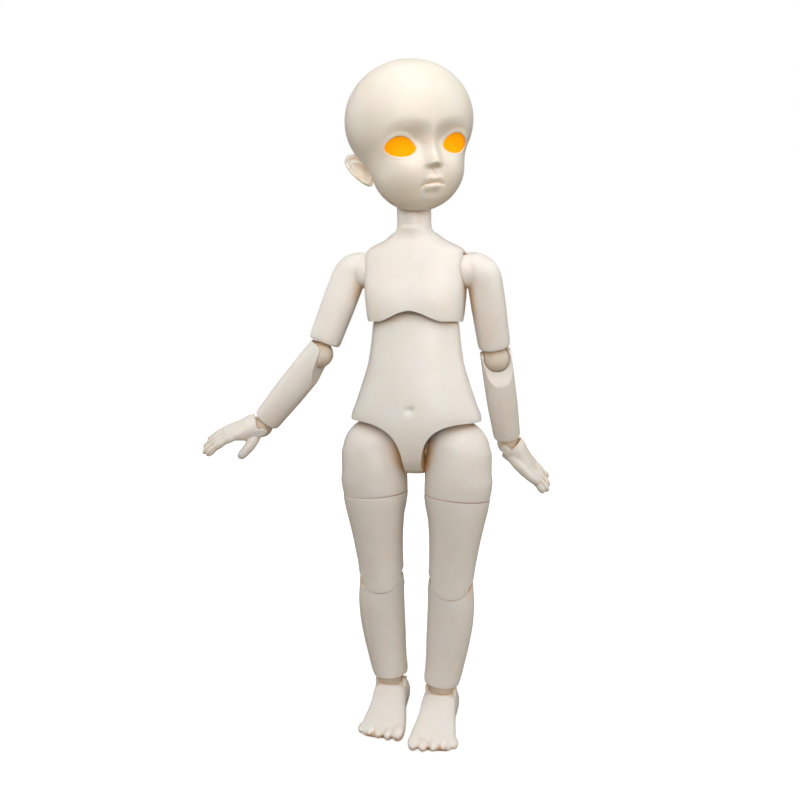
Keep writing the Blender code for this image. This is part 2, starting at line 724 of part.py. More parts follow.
def magnet_places():
    """The middles of the left and right magnet pairs, inside the seam, and the seam's normal."""
    point, normal = seam_frame()
    up = np.array([0, -normal[2], normal[1]])
    places = []
    for side in (-1, 1):
        across = side * (HEAD_WIDTH / 2 - HEAD_WALL - MAGNET_RADIUS - WALL)
        places.append(point + np.array([across * 0.86, 0, 0]) - up * HEAD_HEIGHT * 0.05)
    return places, normal


def keep_bosses(hollow, empty):
    """Keeps round bosses out of the head's hollow, through which the seam later runs."""
    places, normal = magnet_places()
    reach = MAGNET_THICKNESS + GAP + 2 * WALL
    for number, place in enumerate(places):
        outward = np.array([math.copysign(MAGNET_RADIUS, place[0]), 0, 0])
        middle = place + outward
        boss = rod(hollow.name + "_boss_" + str(number), MAGNET_RADIUS + WALL, middle - normal * reach,
                   middle + normal * reach, None, empty, BALL_SIDES)
        boolean(hollow, boss)


def magnet_pockets(target, sign):
    """The round pockets that the magnets sit in, open at the seam."""
    places, normal = magnet_places()
    for place in places:
        drill(target, MAGNET_RADIUS + GAP, place - normal * sign * GAP,
              place + normal * sign * (MAGNET_THICKNESS + 2 * GAP), BALL_SIDES)


def head_shape(name, inset, look, empty, rings=HEAD_RINGS, sides=HEAD_SIDES):
    """The head's outer form, or its form drawn in by some wall."""
    vertices, faces = ring_body(head_rings(inset, rings, sides))
    return mesh_object(name, vertices, faces, look, empty)


def head_shell(empty):
    """The face, sides and ears, hollow, with its eye openings and the tube over the neck joint."""
    shell = head_shape("head_shell", 0, "plastic", empty)
    hollow = head_shape("head_shell_hollow", HEAD_WALL, None, empty, HEAD_RINGS - 3, HEAD_SIDES - 6)
    tube_outer = neck_tube_radius() + NECK_TUBE_WALL
    tube = rod("neck_tube", tube_outer, (0, 0, -CHIN_DROP), (0, 0, RING_HEIGHT), None, empty, BALL_SIDES)
    boolean(hollow, tube)
    keep_bosses(hollow, empty)
    for side, word in ((1, "left"), (-1, "right")):
        centre = (side * HEAD_WIDTH * 0.435, EAR_RADIUS * 0.6, EYE_RISE - EAR_RADIUS * 0.7)
        ear = ball(word + "_ear_form", EAR_RADIUS, empty, centre=centre, stretch=1.48)
        boolean(shell, ear, "UNION")
    boolean(shell, hollow)
    boolean(shell, seam_block("head_shell_seam", empty, False))
    magnet_pockets(shell, -1)
    for side, word in ((1, "left"), (-1, "right")):
        opening = prism(word + "_eye_opening", eye_outline(side), "xz", CUT_DEPTH / 2, empty, -CUT_DEPTH / 2)
        boolean(shell, opening)
    inner = neck_tube_radius()
    drill(shell, inner, (0, 0, -NECK_TUBE_DEPTH), (0, 0, 2 * RING_HEIGHT), BALL_SIDES)
    wide = 1.32 * NECK_RADIUS
    narrow = 1.18 * NECK_RADIUS
    rows = [(-CHIN_DROP - OVERRUN, wide, wide, wide, 0, 0), (0, narrow, narrow, narrow, 0, 0)]
    boolean(shell, loft("neck_flare", rows, None, empty, LIMB_SIDES))
    for sign in (1, -1):
        drill(shell, PIN_RADIUS + GAP, (0, sign * inner / 2, 0), (0, sign * (tube_outer - WALL / 2), 0))
    return shell


def head_cap(empty):
    """The cover on the back of the head, held by magnets."""
    cap = head_shape("head_cap", 0, "plastic", empty)
    hollow = head_shape("head_cap_hollow", HEAD_WALL, None, empty, HEAD_RINGS - 3, HEAD_SIDES - 6)
    keep_bosses(hollow, empty)
    boolean(cap, hollow)
    boolean(cap, seam_block("head_cap_seam", empty, True))
    magnet_pockets(cap, 1)
    return cap


def magnet(name, sign, number, empty):
    """One round magnet on one side of the seam."""
    places, normal = magnet_places()
    start = places[number] + normal * sign * (GAP / 2 + GAP)
    end = start + normal * sign * (MAGNET_THICKNESS - GAP / 2)
    rod(name, MAGNET_RADIUS, start, end, "steel", empty, 14)


def eye_blank(name, side, empty):
    """The flat orange blank that fills one eye opening, seated in the shell's wall."""
    outline = np.array(eye_outline(side))
    middle = outline.mean(axis=0)
    fitted = middle + (outline - middle) * (1 - 2 * GAP / EYE_HEIGHT)
    depth = face_front(side) + HEAD_WALL * 0.45
    blank = prism(name, [tuple(point) for point in fitted], "xz", BLANK_THICKNESS / 2, empty,
                  depth + BLANK_THICKNESS / 2)
    blank.hide_render = False
    blank.display_type = "TEXTURED"
    blank.data.materials.append(finish(name, *FINISHES["orange"]))
    return blank


def face_front(side):
    """How far forward the face is at the middle of an eye, along the head's own Y."""
    near = head_middle()[1]
    far = near - HEAD_DEPTH
    for _ in range(40):
        middle = (near + far) / 2
        point = np.array([[side * EYE_SPACING / 2, middle, EYE_RISE]])
        if head_distance(point)[0] > 0:
            far = middle
        else:
            near = middle
    return near


def ring_outer_radius():
    """The outer radius of the ring that the neck ball tilts in."""
    return NECK_BALL_RADIUS + GAP + RING_THICKNESS


def neck_tube_radius():
    """The inner radius of the head's tube, clear of the ring's corners as the head tilts."""
    return math.hypot(ring_outer_radius(), RING_HEIGHT / 2) + 2 * GAP


def neck_joint(bones):
    """The neck's ball on its peg, the ring round it and the pins that carry them."""
    turn = bones.empties["head_turn"]
    nod = bones.empties["head_nod"]
    tilt = bones.empties["head_tilt"]
    neck_ball = pegged_ball("neck_ball", NECK_BALL_RADIUS, NECK_PEG_RADIUS, NECK_PEG_LENGTH, turn, (0, 0, -1))
    outer = ring_outer_radius()
    drill(neck_ball, PIN_RADIUS + RUNNING, (-outer, 0, 0), (outer, 0, 0))
    half = RING_HEIGHT / 2
    rows = [(-half, outer, outer, outer, 0, 0), (half, outer, outer, outer, 0, 0)]
    ring = loft("neck_ring", rows, "joint", nod, BALL_SIDES + 4)
    seat(ring, NECK_BALL_RADIUS + GAP)
    drill(ring, PIN_RADIUS + GAP, (-outer - GAP, 0, 0), (outer + GAP, 0, 0))
    rod("neck_pin", PIN_RADIUS, (-outer + GAP, 0, 0), (outer - GAP, 0, 0), "steel", nod)
    start = NECK_BALL_RADIUS + 3 * GAP
    end = neck_tube_radius() + NECK_TUBE_WALL - WALL
    drill(ring, PIN_RADIUS + GAP, (0, -outer - GAP, 0), (0, outer + GAP, 0))
    rod("ring_pin_back", PIN_RADIUS, (0, start, 0), (0, end, 0), "steel", tilt)
    rod("ring_pin_front", PIN_RADIUS, (0, -start, 0), (0, -end, 0), "steel", tilt)


def waist_joint(bones):
    """The ball between the belly and the chest, on its peg, with the pin that the chest bends on."""
    turn = bones.empties["waist_turn"]
    bend = bones.empties["waist_bend"]
    ball_piece = pegged_ball("waist_ball", WAIST_BALL_RADIUS, WAIST_PEG_RADIUS, WAIST_PEG_LENGTH, turn,
                             (0, 0, -1))
    reach = WAIST_BALL_RADIUS + GAP + RIB_THICKNESS
    drill(ball_piece, PIN_RADIUS + RUNNING, (-reach, 0, 0), (reach, 0, 0))
    rod("waist_pin", PIN_RADIUS, (-reach + GAP, 0, 0), (reach - GAP, 0, 0), "steel", bend)


def fan_outline(side, low, high, half_width, reach):
    """The outline of a slot that a peg sweeps, from below the inward direction to above it."""
    first = math.radians(low)
    last = math.radians(high)
    edge = [
        (half_width * side * math.sin(-first), -half_width * math.cos(first)),
        (half_width * side * math.sin(last), half_width * math.cos(last)),
    ]
    far = [(-side * reach * math.cos(angle), reach * math.sin(angle)) for angle in (first, last)]
    middle = (first + last) / 2
    corner = (-side * 1.6 * reach * math.cos(middle), 1.6 * reach * math.sin(middle))
    return [
        edge[0],
        (far[0][0] + edge[0][0], far[0][1] + edge[0][1]),
        corner,
        (far[1][0] + edge[1][0], far[1][1] + edge[1][1]),
        edge[1],
    ]


def shoulder_hub(word, side, empty):
    """The ball inside the shoulder that the arm spreads on, with its axle inside the chest."""
    hub = pegged_ball(word + "_shoulder_hub", HUB_BALL_RADIUS, AXLE_RADIUS, AXLE_LENGTH, empty, (-side, 0, 0))
    drill(hub, PIN_RADIUS + RUNNING, (0, -SHOULDER_BALL_RADIUS, 0), (0, SHOULDER_BALL_RADIUS, 0))
    return hub


def upper_arm(word, side, empty):
    """The upper arm: its round top sits in the chest's socket and is slotted for the axle."""
    rows = []
    for height, width, offset in UPPER_ARM_SHARES:
        radius = width * ARM_RADIUS
        rows.append((height * UPPER_ARM_LENGTH, radius, radius, radius, side * offset * ARM_OFFSET, 0))
    arm = loft(word + "_upper_arm", rows, "plastic", empty)
    shoulder = ball(word + "_shoulder_form", SHOULDER_BALL_RADIUS, empty, axis=(side, 0, 0), sides=LIMB_SIDES,
                    rings=BALL_RINGS + 3)
    boolean(arm, shoulder, "UNION")
    outline = fan_outline(side, SLOT_LOW, ARM_SLOT_HIGH, AXLE_RADIUS + GAP, 2 * SHOULDER_BALL_RADIUS)
    boolean(arm, prism(word + "_shoulder_slot", outline, "xz", AXLE_RADIUS + GAP, empty))
    seat(arm, HUB_BALL_RADIUS + GAP, axis=(1, 0, 0))
    pin_end = SHOULDER_BALL_RADIUS - PIN_COVER
    drill(arm, PIN_RADIUS + GAP, (0, -pin_end - GAP, 0), (0, SHOULDER_BALL_RADIUS + OVERRUN, 0))
    elbow = (side * ARM_OFFSET, 0, -UPPER_ARM_LENGTH)
    seat(arm, ELBOW_BALL_RADIUS + GAP, centre=elbow)
    top = -UPPER_ARM_LENGTH + ELBOW_BALL_RADIUS + ARM_PEG_LENGTH + GAP
    drill(arm, ARM_PEG_RADIUS + RUNNING, (elbow[0], 0, -UPPER_ARM_LENGTH), (elbow[0], 0, top), BALL_SIDES)
    rod(word + "_shoulder_pin", PIN_RADIUS, (0, -pin_end, 0), (0, pin_end, 0), "steel", empty)
    return arm


def forearm(word, empty, swivel_empty):
    """The forearm: an oblique scoop at the top cups the elbow ball and lets it bend forward."""
    ball_piece = pegged_ball(word + "_elbow_ball", ELBOW_BALL_RADIUS, ARM_PEG_RADIUS, ARM_PEG_LENGTH,
                             swivel_empty)
    drill(ball_piece, PIN_RADIUS + RUNNING, (-ARM_RADIUS, 0, 0), (ARM_RADIUS, 0, 0))
    rows = []
    for height, width in FOREARM_SHARES:
        radius = width * ARM_RADIUS
        rows.append((height * FOREARM_LENGTH, radius, radius, radius, 0, 0))
    arm = loft(word + "_forearm", rows, "plastic", empty)
    outline = [(y * ARM_RADIUS, z * ARM_RADIUS) for y, z in SCOOP_SHARES]
    outline.append((2 * ARM_RADIUS, outline[-1][1]))
    outline.append((2 * ARM_RADIUS, 2 * ARM_RADIUS))
    outline.append((-2 * ARM_RADIUS, 2 * ARM_RADIUS))
    outline.append((-2 * ARM_RADIUS, outline[0][1]))
    boolean(arm, prism(word + "_elbow_scoop", outline, "yz", ARM_RADIUS + OVERRUN, empty))
    seat(arm, ELBOW_BALL_RADIUS + GAP, axis=(1, 0, 0))
    drill(arm, PIN_RADIUS + GAP, (-ARM_RADIUS + GAP, 0, 0), (ARM_RADIUS - GAP, 0, 0))
    wrist_z = -FOREARM_LENGTH
    seat(arm, WRIST_BALL_RADIUS + GAP, centre=(0, 0, wrist_z))
    drill(arm, WRIST_PEG_RADIUS + RUNNING, (0, 0, wrist_z),
          (0, 0, wrist_z + WRIST_BALL_RADIUS + ARM_PEG_LENGTH + GAP), BALL_SIDES)
    pin = ARM_RADIUS * FOREARM_SHARES[1][1] - 2 * GAP
    rod(word + "_elbow_pin", PIN_RADIUS, (-pin, 0, 0), (pin, 0, 0), "steel", empty)
    return arm


def curled(start, length, curl, side):
    """The middle and the end of a finger that curls toward the palm."""
    half = length / 2
    first = math.radians(curl * 0.35)
    second = math.radians(curl)
    middle = (start[0] - side * half * math.sin(first), start[1] * 1.1, start[2] - half * math.cos(first))
    end = (middle[0] - side * half * math.sin(second), start[1] * 1.25, middle[2] - half * math.cos(second))
    return middle, end


def finger(name, radius, points, empty):
    """One tapering finger through its knuckles."""
    rings = []
    for number, point in enumerate(points):
        size = radius * (1 - 0.12 * number)
        flat = section(size, size, size, FINGER_SIDES, phase=SIDE_PHASE)
        level = np.full(FINGER_SIDES, point[2])
        rings.append(np.column_stack([flat[:, 0] + point[0], flat[:, 1] + point[1], level]))
    vertices, faces = ring_body(rings)
    return mesh_object(name, vertices, faces, None, empty)


def hand(word, side, empty, turn_empty, curl):
    """The hand: a palm, four fingers and a thumb as one moulding, with a cup for the wrist ball."""
    ball_piece = pegged_ball(word + "_wrist_ball", WRIST_BALL_RADIUS, WRIST_PEG_RADIUS, ARM_PEG_LENGTH,
                             turn_empty)
    drill(ball_piece, PIN_RADIUS + RUNNING, (0, -ARM_RADIUS, 0), (0, ARM_RADIUS, 0))
    start = WRIST_BALL_RADIUS * 0.45
    cup = WRIST_BALL_RADIUS + GAP + WALL * 0.6
    rows = [(-start, cup, cup, cup, 0, 0), (-start - PALM_THICKNESS / 2, cup * 0.95, cup, cup, 0, 0)]
    for height, thick, width in PALM_SHARES:
        rows.append((-start - height * PALM_LENGTH, thick * PALM_THICKNESS, width * PALM_WIDTH / 2,
                     width * PALM_WIDTH / 2, 0, 0))
    palm = loft(word + "_hand", rows, "plastic", empty, LIMB_SIDES - 4)
    knuckle = -start - PALM_LENGTH + FINGER_RADIUS
    for number, (place, reach) in enumerate(zip(FINGER_PLACE_SHARES, FINGER_REACH_SHARES)):
        base = (0, place * PALM_WIDTH, knuckle)
        joints = (base, *curled(base, reach * FINGER_LENGTH, curl, side))
        boolean(palm, finger(word + "_finger_" + str(number), FINGER_RADIUS, joints, empty), "UNION")
    base = (0, -PALM_WIDTH * 0.2, -start - PALM_LENGTH * 0.3)
    middle = (-side * PALM_THICKNESS * 0.35, -PALM_WIDTH * 0.55, -start - PALM_LENGTH * 0.65)
    end = (-side * PALM_THICKNESS * 0.8, -PALM_WIDTH * 0.78, -start - PALM_LENGTH * 1.25)
    boolean(palm, finger(word + "_thumb", FINGER_RADIUS * 1.25, (base, middle, end), empty), "UNION")
    pin_ears(palm, "xz", start + WALL, cup)
    seat(palm, WRIST_BALL_RADIUS + GAP, axis=(0, 1, 0))
    drill(palm, PIN_RADIUS + GAP, (0, -cup + GAP, 0), (0, cup - GAP, 0))
    pin = WRIST_BALL_RADIUS + GAP
    rod(word + "_wrist_pin", PIN_RADIUS, (0, -pin, 0), (0, pin, 0), "steel", empty)
    return palm


def leg_rows(table, length, side, start=0.0, below=0.0):
    """Sections down the leg from a table of shares, mirrored for the doll's right."""
    rows = []
    for height, width, front, back, shift in table:
        rows.append((
            -start - below - height * length,
            width * LEG_RADIUS, front * LEG_RADIUS, back * LEG_RADIUS,
            side * shift * LEG_RADIUS, 0,
        ))
    return rows


def upper_thigh(word, side, empty, swing_empty):
    """The top of the thigh: a dome round the hip ball, slotted for the stem from the belly's web."""
    reach = hip_reach()
    stem = pegged_ball(word + "_hip_ball", HIP_BALL_RADIUS, HIP_PEG_RADIUS, reach - HIP_BALL_RADIUS,
                       swing_empty, (-side, 0, 0))
    drill(stem, PIN_RADIUS + RUNNING, (0, -LEG_RADIUS, 0), (0, LEG_RADIUS, 0))
    rings = ball_rings(HIP_DOME_RADIUS, 80, 0, 7, LIMB_SIDES)
    rings += loft_rings(leg_rows(THIGH_SHARES, TWIST_DROP, side), LIMB_SIDES)
    vertices, faces = ring_body(rings)
    thigh = mesh_object(word + "_upper_thigh", vertices, faces, "plastic", empty)
    outline = fan_outline(side, SLOT_LOW, THIGH_SLOT_HIGH, HIP_PEG_RADIUS + GAP, 2 * HIP_DOME_RADIUS)
    boolean(thigh, prism(word + "_hip_slot", outline, "xz", HIP_PEG_RADIUS + GAP, empty))
    seat(thigh, HIP_BALL_RADIUS + GAP)
    pin_end = HIP_DOME_RADIUS - PIN_COVER
    drill(thigh, PIN_RADIUS + GAP, (0, -pin_end - GAP, 0), (0, HIP_DOME_RADIUS + OVERRUN, 0))
    rod(word + "_hip_pin", PIN_RADIUS, (0, -pin_end, 0), (0, pin_end, 0), "steel", empty)
    peg = TWIST_PEG_RADIUS + RUNNING
    drill(thigh, peg, (0, 0, -TWIST_DROP - OVERRUN), (0, 0, -TWIST_DROP + TWIST_PEG_LENGTH + GAP), BALL_SIDES)
    return thigh


def hip_reach():
    """From the hip's middle inward to the end of its peg in the web."""
    return HIP_SPACING / 2 - hip_peg_start()


def knee_profile(raise_by):
    """The side view of the shin's rim: low in front, an ear at the side, lowest behind."""
    ear = KNEE_EAR_RADIUS
    front = KNEE_RADIUS
    points = [(-2 * front, -0.26 * front), (-1.02 * front, -0.14 * front), (-0.68 * front, 0.12 * front)]
    for angle in (140, 115, 90, 65, 35):
        points.append((ear * math.cos(math.radians(angle)), ear * math.sin(math.radians(angle))))
    points += [(0.75 * front, -0.35 * front), (1.05 * front, -1.0 * front), (2 * front, -1.6 * front)]
    return [(y, z + raise_by) for y, z in points]


def lower_thigh(word, side, empty):
    """The lower thigh, turning on its peg at the seam and ending in the knee's barrel."""
    rows = leg_rows(LOWER_THIGH_SHARES, THIGH_LENGTH - TWIST_DROP, side, TWIST_DROP)
    rows[0] = (rows[0][0] - GAP, *rows[0][1:])
    thigh = loft(word + "_lower_thigh", rows, "plastic", empty)
    knee = (0, 0, -THIGH_LENGTH)
    lift = KNEE_RADIUS
    outline = [(-2 * lift, -THIGH_LENGTH - lift), (-2 * lift, -THIGH_LENGTH - 0.1 * lift)]
    for y, z in knee_profile(GAP)[1:-6]:
        outline.append((y, -THIGH_LENGTH + z))
    outline += [(y * lift, -THIGH_LENGTH + z * lift) for y, z in KNEE_BACK_SHARES]
    boolean(thigh, prism(word + "_knee_trim", outline, "yz", CUT_DEPTH / 2, empty))
    for sign in (1, -1):
        inner = sign * (EAR_SIDE + GAP)
        outer = sign * (LEG_RADIUS + OVERRUN)
        clearing = rod(word + "_knee_clearing_" + str(sign), KNEE_RADIUS * 0.86, (inner, 0, -THIGH_LENGTH),
                       (outer, 0, -THIGH_LENGTH), None, empty, LIMB_SIDES)
        boolean(thigh, clearing, solver="MANIFOLD")
    squash = EAR_SIDE / KNEE_RADIUS
    vertices, faces = ring_body(ball_rings(KNEE_RADIUS, -84, 84, BALL_RINGS + 2, LIMB_SIDES, squash))
    vertices = oriented(vertices, (1, 0, 0)) + np.array(knee)
    boolean(thigh, mesh_object(word + "_knee_barrel", vertices, faces, None, empty), "UNION")
    peg = rod(word + "_twist_peg", TWIST_PEG_RADIUS, (0, 0, -TWIST_DROP + TWIST_PEG_LENGTH),
              (0, 0, -TWIST_DROP - TWIST_PEG_LENGTH), None, empty, BALL_SIDES)
    boolean(thigh, peg, "UNION")
    drill(thigh, PIN_RADIUS + RUNNING, (-LEG_RADIUS, 0, -THIGH_LENGTH), (LEG_RADIUS, 0, -THIGH_LENGTH))
    return thigh


def shin(word, side, empty):
    """The shin: a cup round the knee barrel between two ears, and a seat for the ankle ball."""
    piece = loft(word + "_shin", leg_rows(SHIN_SHARES, SHIN_LENGTH, side), "plastic", empty)
    outline = knee_profile(0)
    outline += [(2 * KNEE_RADIUS, 2 * KNEE_RADIUS), (-2 * KNEE_RADIUS, 2 * KNEE_RADIUS)]
    boolean(piece, prism(word + "_knee_rim", outline, "yz", CUT_DEPTH / 2, empty))
    grow = (KNEE_RADIUS + GAP) / math.cos(math.pi / LIMB_SIDES)
    squash = (EAR_SIDE + GAP) / grow
    vertices, faces = ring_body(ball_rings(grow, -84, 84, BALL_RINGS + 2, LIMB_SIDES, squash))
    boolean(piece, mesh_object(word + "_knee_cup", oriented(vertices, (1, 0, 0)), faces, None, empty))
    width = LEG_RADIUS * SHIN_SHARES[1][1]
    drill(piece, PIN_RADIUS + GAP, (-width - LEG_RADIUS / 2, 0, 0), (width + LEG_RADIUS / 2, 0, 0))
    seat(piece, ANKLE_BALL_RADIUS + GAP, centre=(0, 0, -SHIN_LENGTH))
    top = -SHIN_LENGTH + ANKLE_BALL_RADIUS + LEG_PEG_LENGTH + GAP
    drill(piece, LEG_PEG_RADIUS + RUNNING, (0, 0, -SHIN_LENGTH), (0, 0, top), BALL_SIDES)
    rod(word + "_knee_pin", PIN_RADIUS, (-width + 3 * GAP, 0, 0), (width - 3 * GAP, 0, 0), "steel", empty)
    return piece


def foot(word, side, empty):
    """The foot with its five toes, flat underneath, with a cup for the ankle ball."""
    top = ANKLE_HEIGHT - GAP
    rings = []
    for place, width, height in FOOT_SHARES:
        y = FOOT_HEEL - place * FOOT_LENGTH
        flat = section(width * FOOT_WIDTH, 0.5 * height * top * 1.08, 0.5 * height * top, LIMB_SIDES, 2.7)
        z = np.maximum(flat[:, 1] + 0.5 * height * top, 0) - ANKLE_HEIGHT
        x = flat[:, 0] - side * FOOT_WIDTH * 0.05 * place
        rings.append(np.column_stack([x, np.full(LIMB_SIDES, y), z]))
    vertices, faces = ring_body(rings)
    piece = mesh_object(word + "_foot", vertices, faces, "plastic", empty)
    for number, size in enumerate(TOE_SIZE_SHARES):
        radius = TOE_RADIUS * size
        x = -side * FOOT_WIDTH * (0.40 - 0.205 * number)
        y = FOOT_HEEL - FOOT_LENGTH * (1 - 0.0072 * number ** 2) + radius * 1.05
        centre = (x, y, radius - ANKLE_HEIGHT)
        toe = ball(word + "_toe_" + str(number), radius, empty, axis=(0, 1, 0), centre=centre, stretch=1.25,
                   sides=FINGER_SIDES + 2, rings=4)
        boolean(piece, toe, "UNION")
    rim = [(y * FOOT_WIDTH, z * ANKLE_HEIGHT) for y, z in FOOT_RIM_SHARES]
    rim += [(FOOT_LENGTH, FOOT_LENGTH), (-FOOT_LENGTH, FOOT_LENGTH)]
    boolean(piece, prism(word + "_foot_rim", rim, "yz", CUT_DEPTH / 2, empty))
    pin_ears(piece, "yz", ANKLE_HEIGHT / 3, ankle_ear_reach())
    seat(piece, ANKLE_BALL_RADIUS + GAP, axis=(1, 0, 0))
    return piece


def ankle_ear_reach():
    """From the middle of the ankle out to the outer faces of the foot's ears."""
    return ANKLE_BALL_RADIUS + GAP + WALL


def doll():
    """Builds the straight doll on its joints, in its standing pose."""
    clear_scene()
    bones = Skeleton()
    pelvis = bones.joint("pelvis", (0, 0, 0))
    belly_half("pelvis_front", -1, pelvis)
    belly_half("pelvis_back", 1, pelvis)
    bones.joint("waist_turn", (0, 0, WAIST_Z), "pelvis")
    bones.joint("waist_bend", (0, 0, WAIST_Z), "waist_turn")
    waist_joint(bones)
    chest_empty = bones.joint("chest", (0, 0, 0), "waist_bend")
    chest_half("chest_front", -1, chest_empty)
    chest_half("chest_back", 1, chest_empty)
    neck = (0, -NECK_FORWARD, NECK_BALL_Z)
    bones.joint("head_turn", neck, "chest", "Z", HEAD_TURN)
    bones.joint("head_nod", neck, "head_turn")
    bones.joint("head_tilt", neck, "head_nod", "Y", -HEAD_TILT)
    neck_joint(bones)
    head = bones.empties["head_tilt"]
    head_shell(head)
    head_cap(head)
    for side, word in ((1, "left"), (-1, "right")):
        magnet(word + "_head_magnet", -1, max(side, 0), head)
        magnet(word + "_cap_magnet", 1, max(side, 0), head)
        eye_blank(word + "_eye_blank", side, head)
        arm(bones, word, side)
        leg(bones, word, side)
    centre_on_floor(pelvis)


def centre_on_floor(empty):
    """Moves the whole doll so that the middle of its space on the floor is at the origin."""
    view = bpy.context.evaluated_depsgraph_get()
    corners = []
    for item in bpy.data.objects:
        if item.type == "MESH" and not item.hide_render:
            solid = item.evaluated_get(view)
            corners += [solid.matrix_world @ vertex.co for vertex in solid.data.vertices]
    corners = np.array(corners)
    low = corners.min(axis=0)
    high = corners.max(axis=0)
    empty.location = (-(low[0] + high[0]) / 2, -(low[1] + high[1]) / 2, -low[2])


def arm(bones, word, side):
    """One arm on its chain of joints from the shoulder to the hand."""
    pose = ARM_POSES[word]
    shoulder = (side * SHOULDER_SPACING / 2, 0, SHOULDER_Z)
    elbow = (shoulder[0] + side * ARM_OFFSET, 0, SHOULDER_Z - UPPER_ARM_LENGTH)
    wrist = (elbow[0], 0, elbow[2] - FOREARM_LENGTH)
    bones.joint(word + "_shoulder_aim", shoulder, "chest", "Z", side * AXLE_AIM)
    swing = bones.joint(word + "_shoulder_swing", shoulder, word + "_shoulder_aim", "X", pose["swing"])
    shoulder_hub(word, side, swing)
    spread = bones.joint(word + "_shoulder_spread", shoulder, word + "_shoulder_swing", "Y",
                         -side * pose["spread"])
    upper_arm(word, side, spread)
    swivel = bones.joint(word + "_elbow_swivel", elbow, word + "_shoulder_spread", "Z", pose["swivel"])
    bend = bones.joint(word + "_elbow_bend", elbow, word + "_elbow_swivel", "X", -pose["bend"])
    forearm(word, bend, swivel)
    turn = bones.joint(word + "_wrist_turn", wrist, word + "_elbow_bend", "Z", pose["turn"])
    tip = bones.joint(word + "_wrist_bend", wrist, word + "_wrist_turn", "Y", -side * pose["hand"])
    hand(word, side, tip, turn, pose["curl"])


def leg(bones, word, side):
    """One leg on its chain of joints from the hip to the foot, which stands flat."""
    hip = (side * HIP_SPACING / 2, 0, HIP_Z)
    knee = (hip[0], 0, HIP_Z - THIGH_LENGTH)
    ankle = (hip[0], 0, knee[2] - SHIN_LENGTH)
    swing = bones.joint(word + "_hip_swing", hip, "pelvis", "X", -side * STRIDE)
    spread = bones.joint(word + "_hip_spread", hip, word + "_hip_swing", "Y", side * LEG_LEAN)
    upper_thigh(word, side, spread, swing)
    twist = bones.joint(word + "_thigh_twist", hip, word + "_hip_spread", "Z", LEG_TWIST)
    lower_thigh(word, side, twist)
    bend = bones.joint(word + "_knee_bend", knee, word + "_thigh_twist")
    shin(word, side, bend)
    turn = bones.joint(word + "_ankle_turn", ankle, word + "_knee_bend", "Z", FOOT_TURN - LEG_TWIST)
    ball_piece = pegged_ball(word + "_ankle_ball", ANKLE_BALL_RADIUS, LEG_PEG_RADIUS, LEG_PEG_LENGTH, turn)
    flat = bones.joint(word + "_ankle_bend", ankle, word + "_ankle_turn")
    bpy.context.view_layer.update()
    foot_turn = Matrix.Rotation(math.radians(FOOT_TURN), 4, "Z")
    level = Matrix.Translation(turn.matrix_world.translation) @ foot_turn
    flat.matrix_basis = turn.matrix_world.inverted() @ level
    drill(ball_piece, PIN_RADIUS + RUNNING, (-FOOT_WIDTH, 0, 0), (FOOT_WIDTH, 0, 0), frame=flat)
    piece = foot(word, side, flat)
    width = ankle_ear_reach() - GAP
    drill(piece, PIN_RADIUS + GAP, (-width, 0, 0), (width, 0, 0))
    rod(word + "_ankle_pin", PIN_RADIUS, (-width + GAP, 0, 0), (width - GAP, 0, 0), "steel", flat)


doll()
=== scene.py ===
# %% [markdown]
# # A ball-jointed doll, dressed over its solids
# The real doll is moulded in cream plastic as about twenty hollow pieces, and a ball with a pin sits
# at every joint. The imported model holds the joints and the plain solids. This lesson makes the
# smooth outside of each piece, gives every piece its finish, and sets the camera and the light.

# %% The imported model
import json
import math

import bmesh
import bpy
import numpy as np
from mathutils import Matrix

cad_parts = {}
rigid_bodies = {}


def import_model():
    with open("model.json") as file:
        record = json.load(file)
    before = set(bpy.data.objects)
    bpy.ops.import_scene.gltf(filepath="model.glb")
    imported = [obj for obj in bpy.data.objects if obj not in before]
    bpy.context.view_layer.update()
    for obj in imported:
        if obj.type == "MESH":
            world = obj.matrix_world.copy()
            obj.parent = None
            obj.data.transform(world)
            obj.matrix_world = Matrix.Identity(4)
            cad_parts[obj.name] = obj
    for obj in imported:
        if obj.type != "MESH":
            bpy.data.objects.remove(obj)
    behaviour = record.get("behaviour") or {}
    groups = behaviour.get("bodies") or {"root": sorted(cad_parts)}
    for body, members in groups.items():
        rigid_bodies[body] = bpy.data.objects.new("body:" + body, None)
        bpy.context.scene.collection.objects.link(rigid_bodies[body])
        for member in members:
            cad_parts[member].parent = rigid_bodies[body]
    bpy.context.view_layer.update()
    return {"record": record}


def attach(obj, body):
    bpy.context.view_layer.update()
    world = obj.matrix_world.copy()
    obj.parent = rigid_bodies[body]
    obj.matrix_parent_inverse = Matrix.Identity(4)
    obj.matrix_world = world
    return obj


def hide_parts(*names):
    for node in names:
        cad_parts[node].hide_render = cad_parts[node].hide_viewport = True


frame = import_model()
MM = 0.001

# %% [markdown]
# ## Where everything is
# The doll is laid out straight first, in millimetres up from the soles, and each joint then turns
# what hangs on it. A 4 by 4 matrix for each joint does this as whole arrays, so a piece can be drawn
# round its own joint and carried into the pose in one multiplication.

